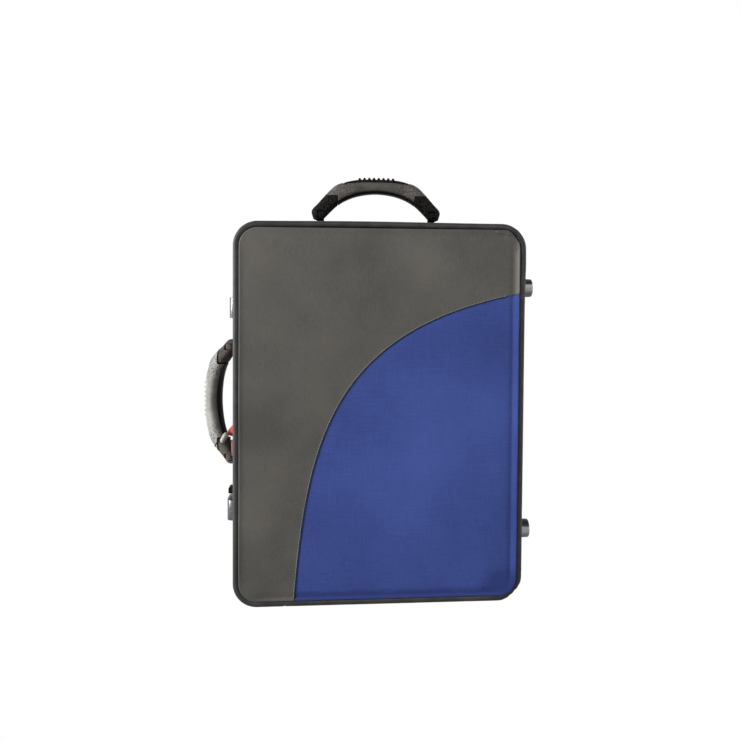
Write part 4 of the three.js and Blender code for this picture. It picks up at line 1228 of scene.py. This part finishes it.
def build_stage():
    """A white floor that takes the shadow close to the case and glows white further out."""
    floor = linked("floor", bpy.data.meshes.new("floor"))
    floor.data.from_pydata([(-6, -6, 0), (6, -6, 0), (6, 6, 0), (-6, 6, 0)], [], [(0, 1, 2, 3)])
    g = material_graph("white_floor")
    x, y, _ = g.axes()
    squares = [
        g.math("POWER", g.math("MAXIMUM", g.math("SUBTRACT", g.math("ABSOLUTE", axis), half), 0.0), 2.0)
        for axis, half in ((x, shadow_half_width), (y, shadow_half_depth))
    ]
    share = g.range(g.math("SQRT", g.sum(*squares)), 0.001, 0.008, 0.05, 1.0)
    seen = g.seen()
    glow = g.add("ShaderNodeEmission", {"Color": white}).outputs[0]
    surface = g.principled(g.blend(seen, (120, 120, 120), (252, 252, 252)), 0.9, specular=0.0)
    dress(floor, g.end(g.add("ShaderNodeMixShader", {0: g.times(seen, share), 1: surface, 2: glow}).outputs[0]))


def build_world():
    """White to the eye, and a weak even light for the case."""
    bpy.context.scene.world = bpy.data.worlds.new("studio")
    g = Graph(bpy.context.scene.world, "ShaderNodeOutputWorld")
    fill, behind = (
        g.add("ShaderNodeBackground", {"Color": white, "Strength": strength}).outputs[0] for strength in (0.07, 1.0)
    )
    g.end(g.add("ShaderNodeMixShader", {0: g.seen(), 1: fill, 2: behind}).outputs[0])


def softbox(name, place, width, height, power):
    """A rectangular lamp in metres and watts, aimed at the case's middle."""
    lamp = bpy.data.lights.new(name, "AREA")
    lamp.shape = "RECTANGLE"
    lamp.size, lamp.size_y = width, height
    lamp.energy = power
    holder = linked(name, lamp)
    holder.location = place
    holder.rotation_euler = (Vector((0, 0, 0.2)) - Vector(place)).to_track_quat("-Z", "Y").to_euler()


# Camera, from a fit of the case's corners, handles and feet to the photograph

camera_place = (-0.02507, -0.79285, 0.35046)
camera_yaw, camera_pitch, camera_roll = 4.288, -1.807, 0.472
sensor_width = 36
focal_pixels = 707.4
centre_pixel = (409.64, 289.44)
image_side = 741


def build_camera():
    camera = bpy.data.cameras.new("camera")
    camera.sensor_width = sensor_width
    camera.lens = sensor_width * focal_pixels / image_side
    camera.shift_x = (image_side / 2 - centre_pixel[0]) / image_side
    camera.shift_y = (centre_pixel[1] - image_side / 2) / image_side
    camera.clip_start, camera.clip_end = 0.01, 50
    yaw, pitch, roll = (radians(a) for a in (camera_yaw, camera_pitch, camera_roll))
    forward = Vector((sin(yaw) * cos(pitch), cos(yaw) * cos(pitch), sin(pitch)))
    right = Vector((cos(yaw), -sin(yaw), 0))
    up = right.cross(forward)
    rolled_right = right * cos(roll) + up * sin(roll)
    rolled_up = up * cos(roll) - right * sin(roll)
    turn = Matrix((rolled_right, rolled_up, -forward)).transposed().to_4x4()
    holder = linked("camera", camera)
    holder.matrix_world = Matrix.Translation(camera_place) @ turn
    bpy.context.scene.camera = holder


noise.seed_set(7)
build_camera()
build_world()
softbox("left_box", (-1.75, -0.5, 0.4), 0.6, 1.1, 60)
softbox("right_box", (1.7, -0.4, 0.5), 0.5, 1.1, 11)
softbox("front_box", (0.55, -1.9, 1.4), 0.7, 0.35, 17)
build_stage()
build_leather_panel()
build_cloth_panel()
build_seam_stitches()
build_back_panel()
build_binding("front_binding", "lid", front_y, -1, 0.5, "lid_binding")
build_binding("back_binding", "base", back_y, 1, 3.5, "base_binding")
for shell in ("base_shell", "lid_shell"):
    smooth_node(shell, shell_leather, 0.9, 3)
build_handle("top_handle", top_grip_plastic, top_shank_plastic, black_plastic)
build_handle("side_handle", side_grip_painted_light_and_shade, side_shank_painted_light, side_strip_painted_light)
for where in ("base_lower", "base_upper", "lid_lower", "lid_upper"):
    build_foot(f"foot_{where}")
build_latches()
build_hinges()
build_bracket_rivets()
build_tag()
build_insert()
build_lid_pad()

bpy.context.scene.view_settings.view_transform = "Standard"
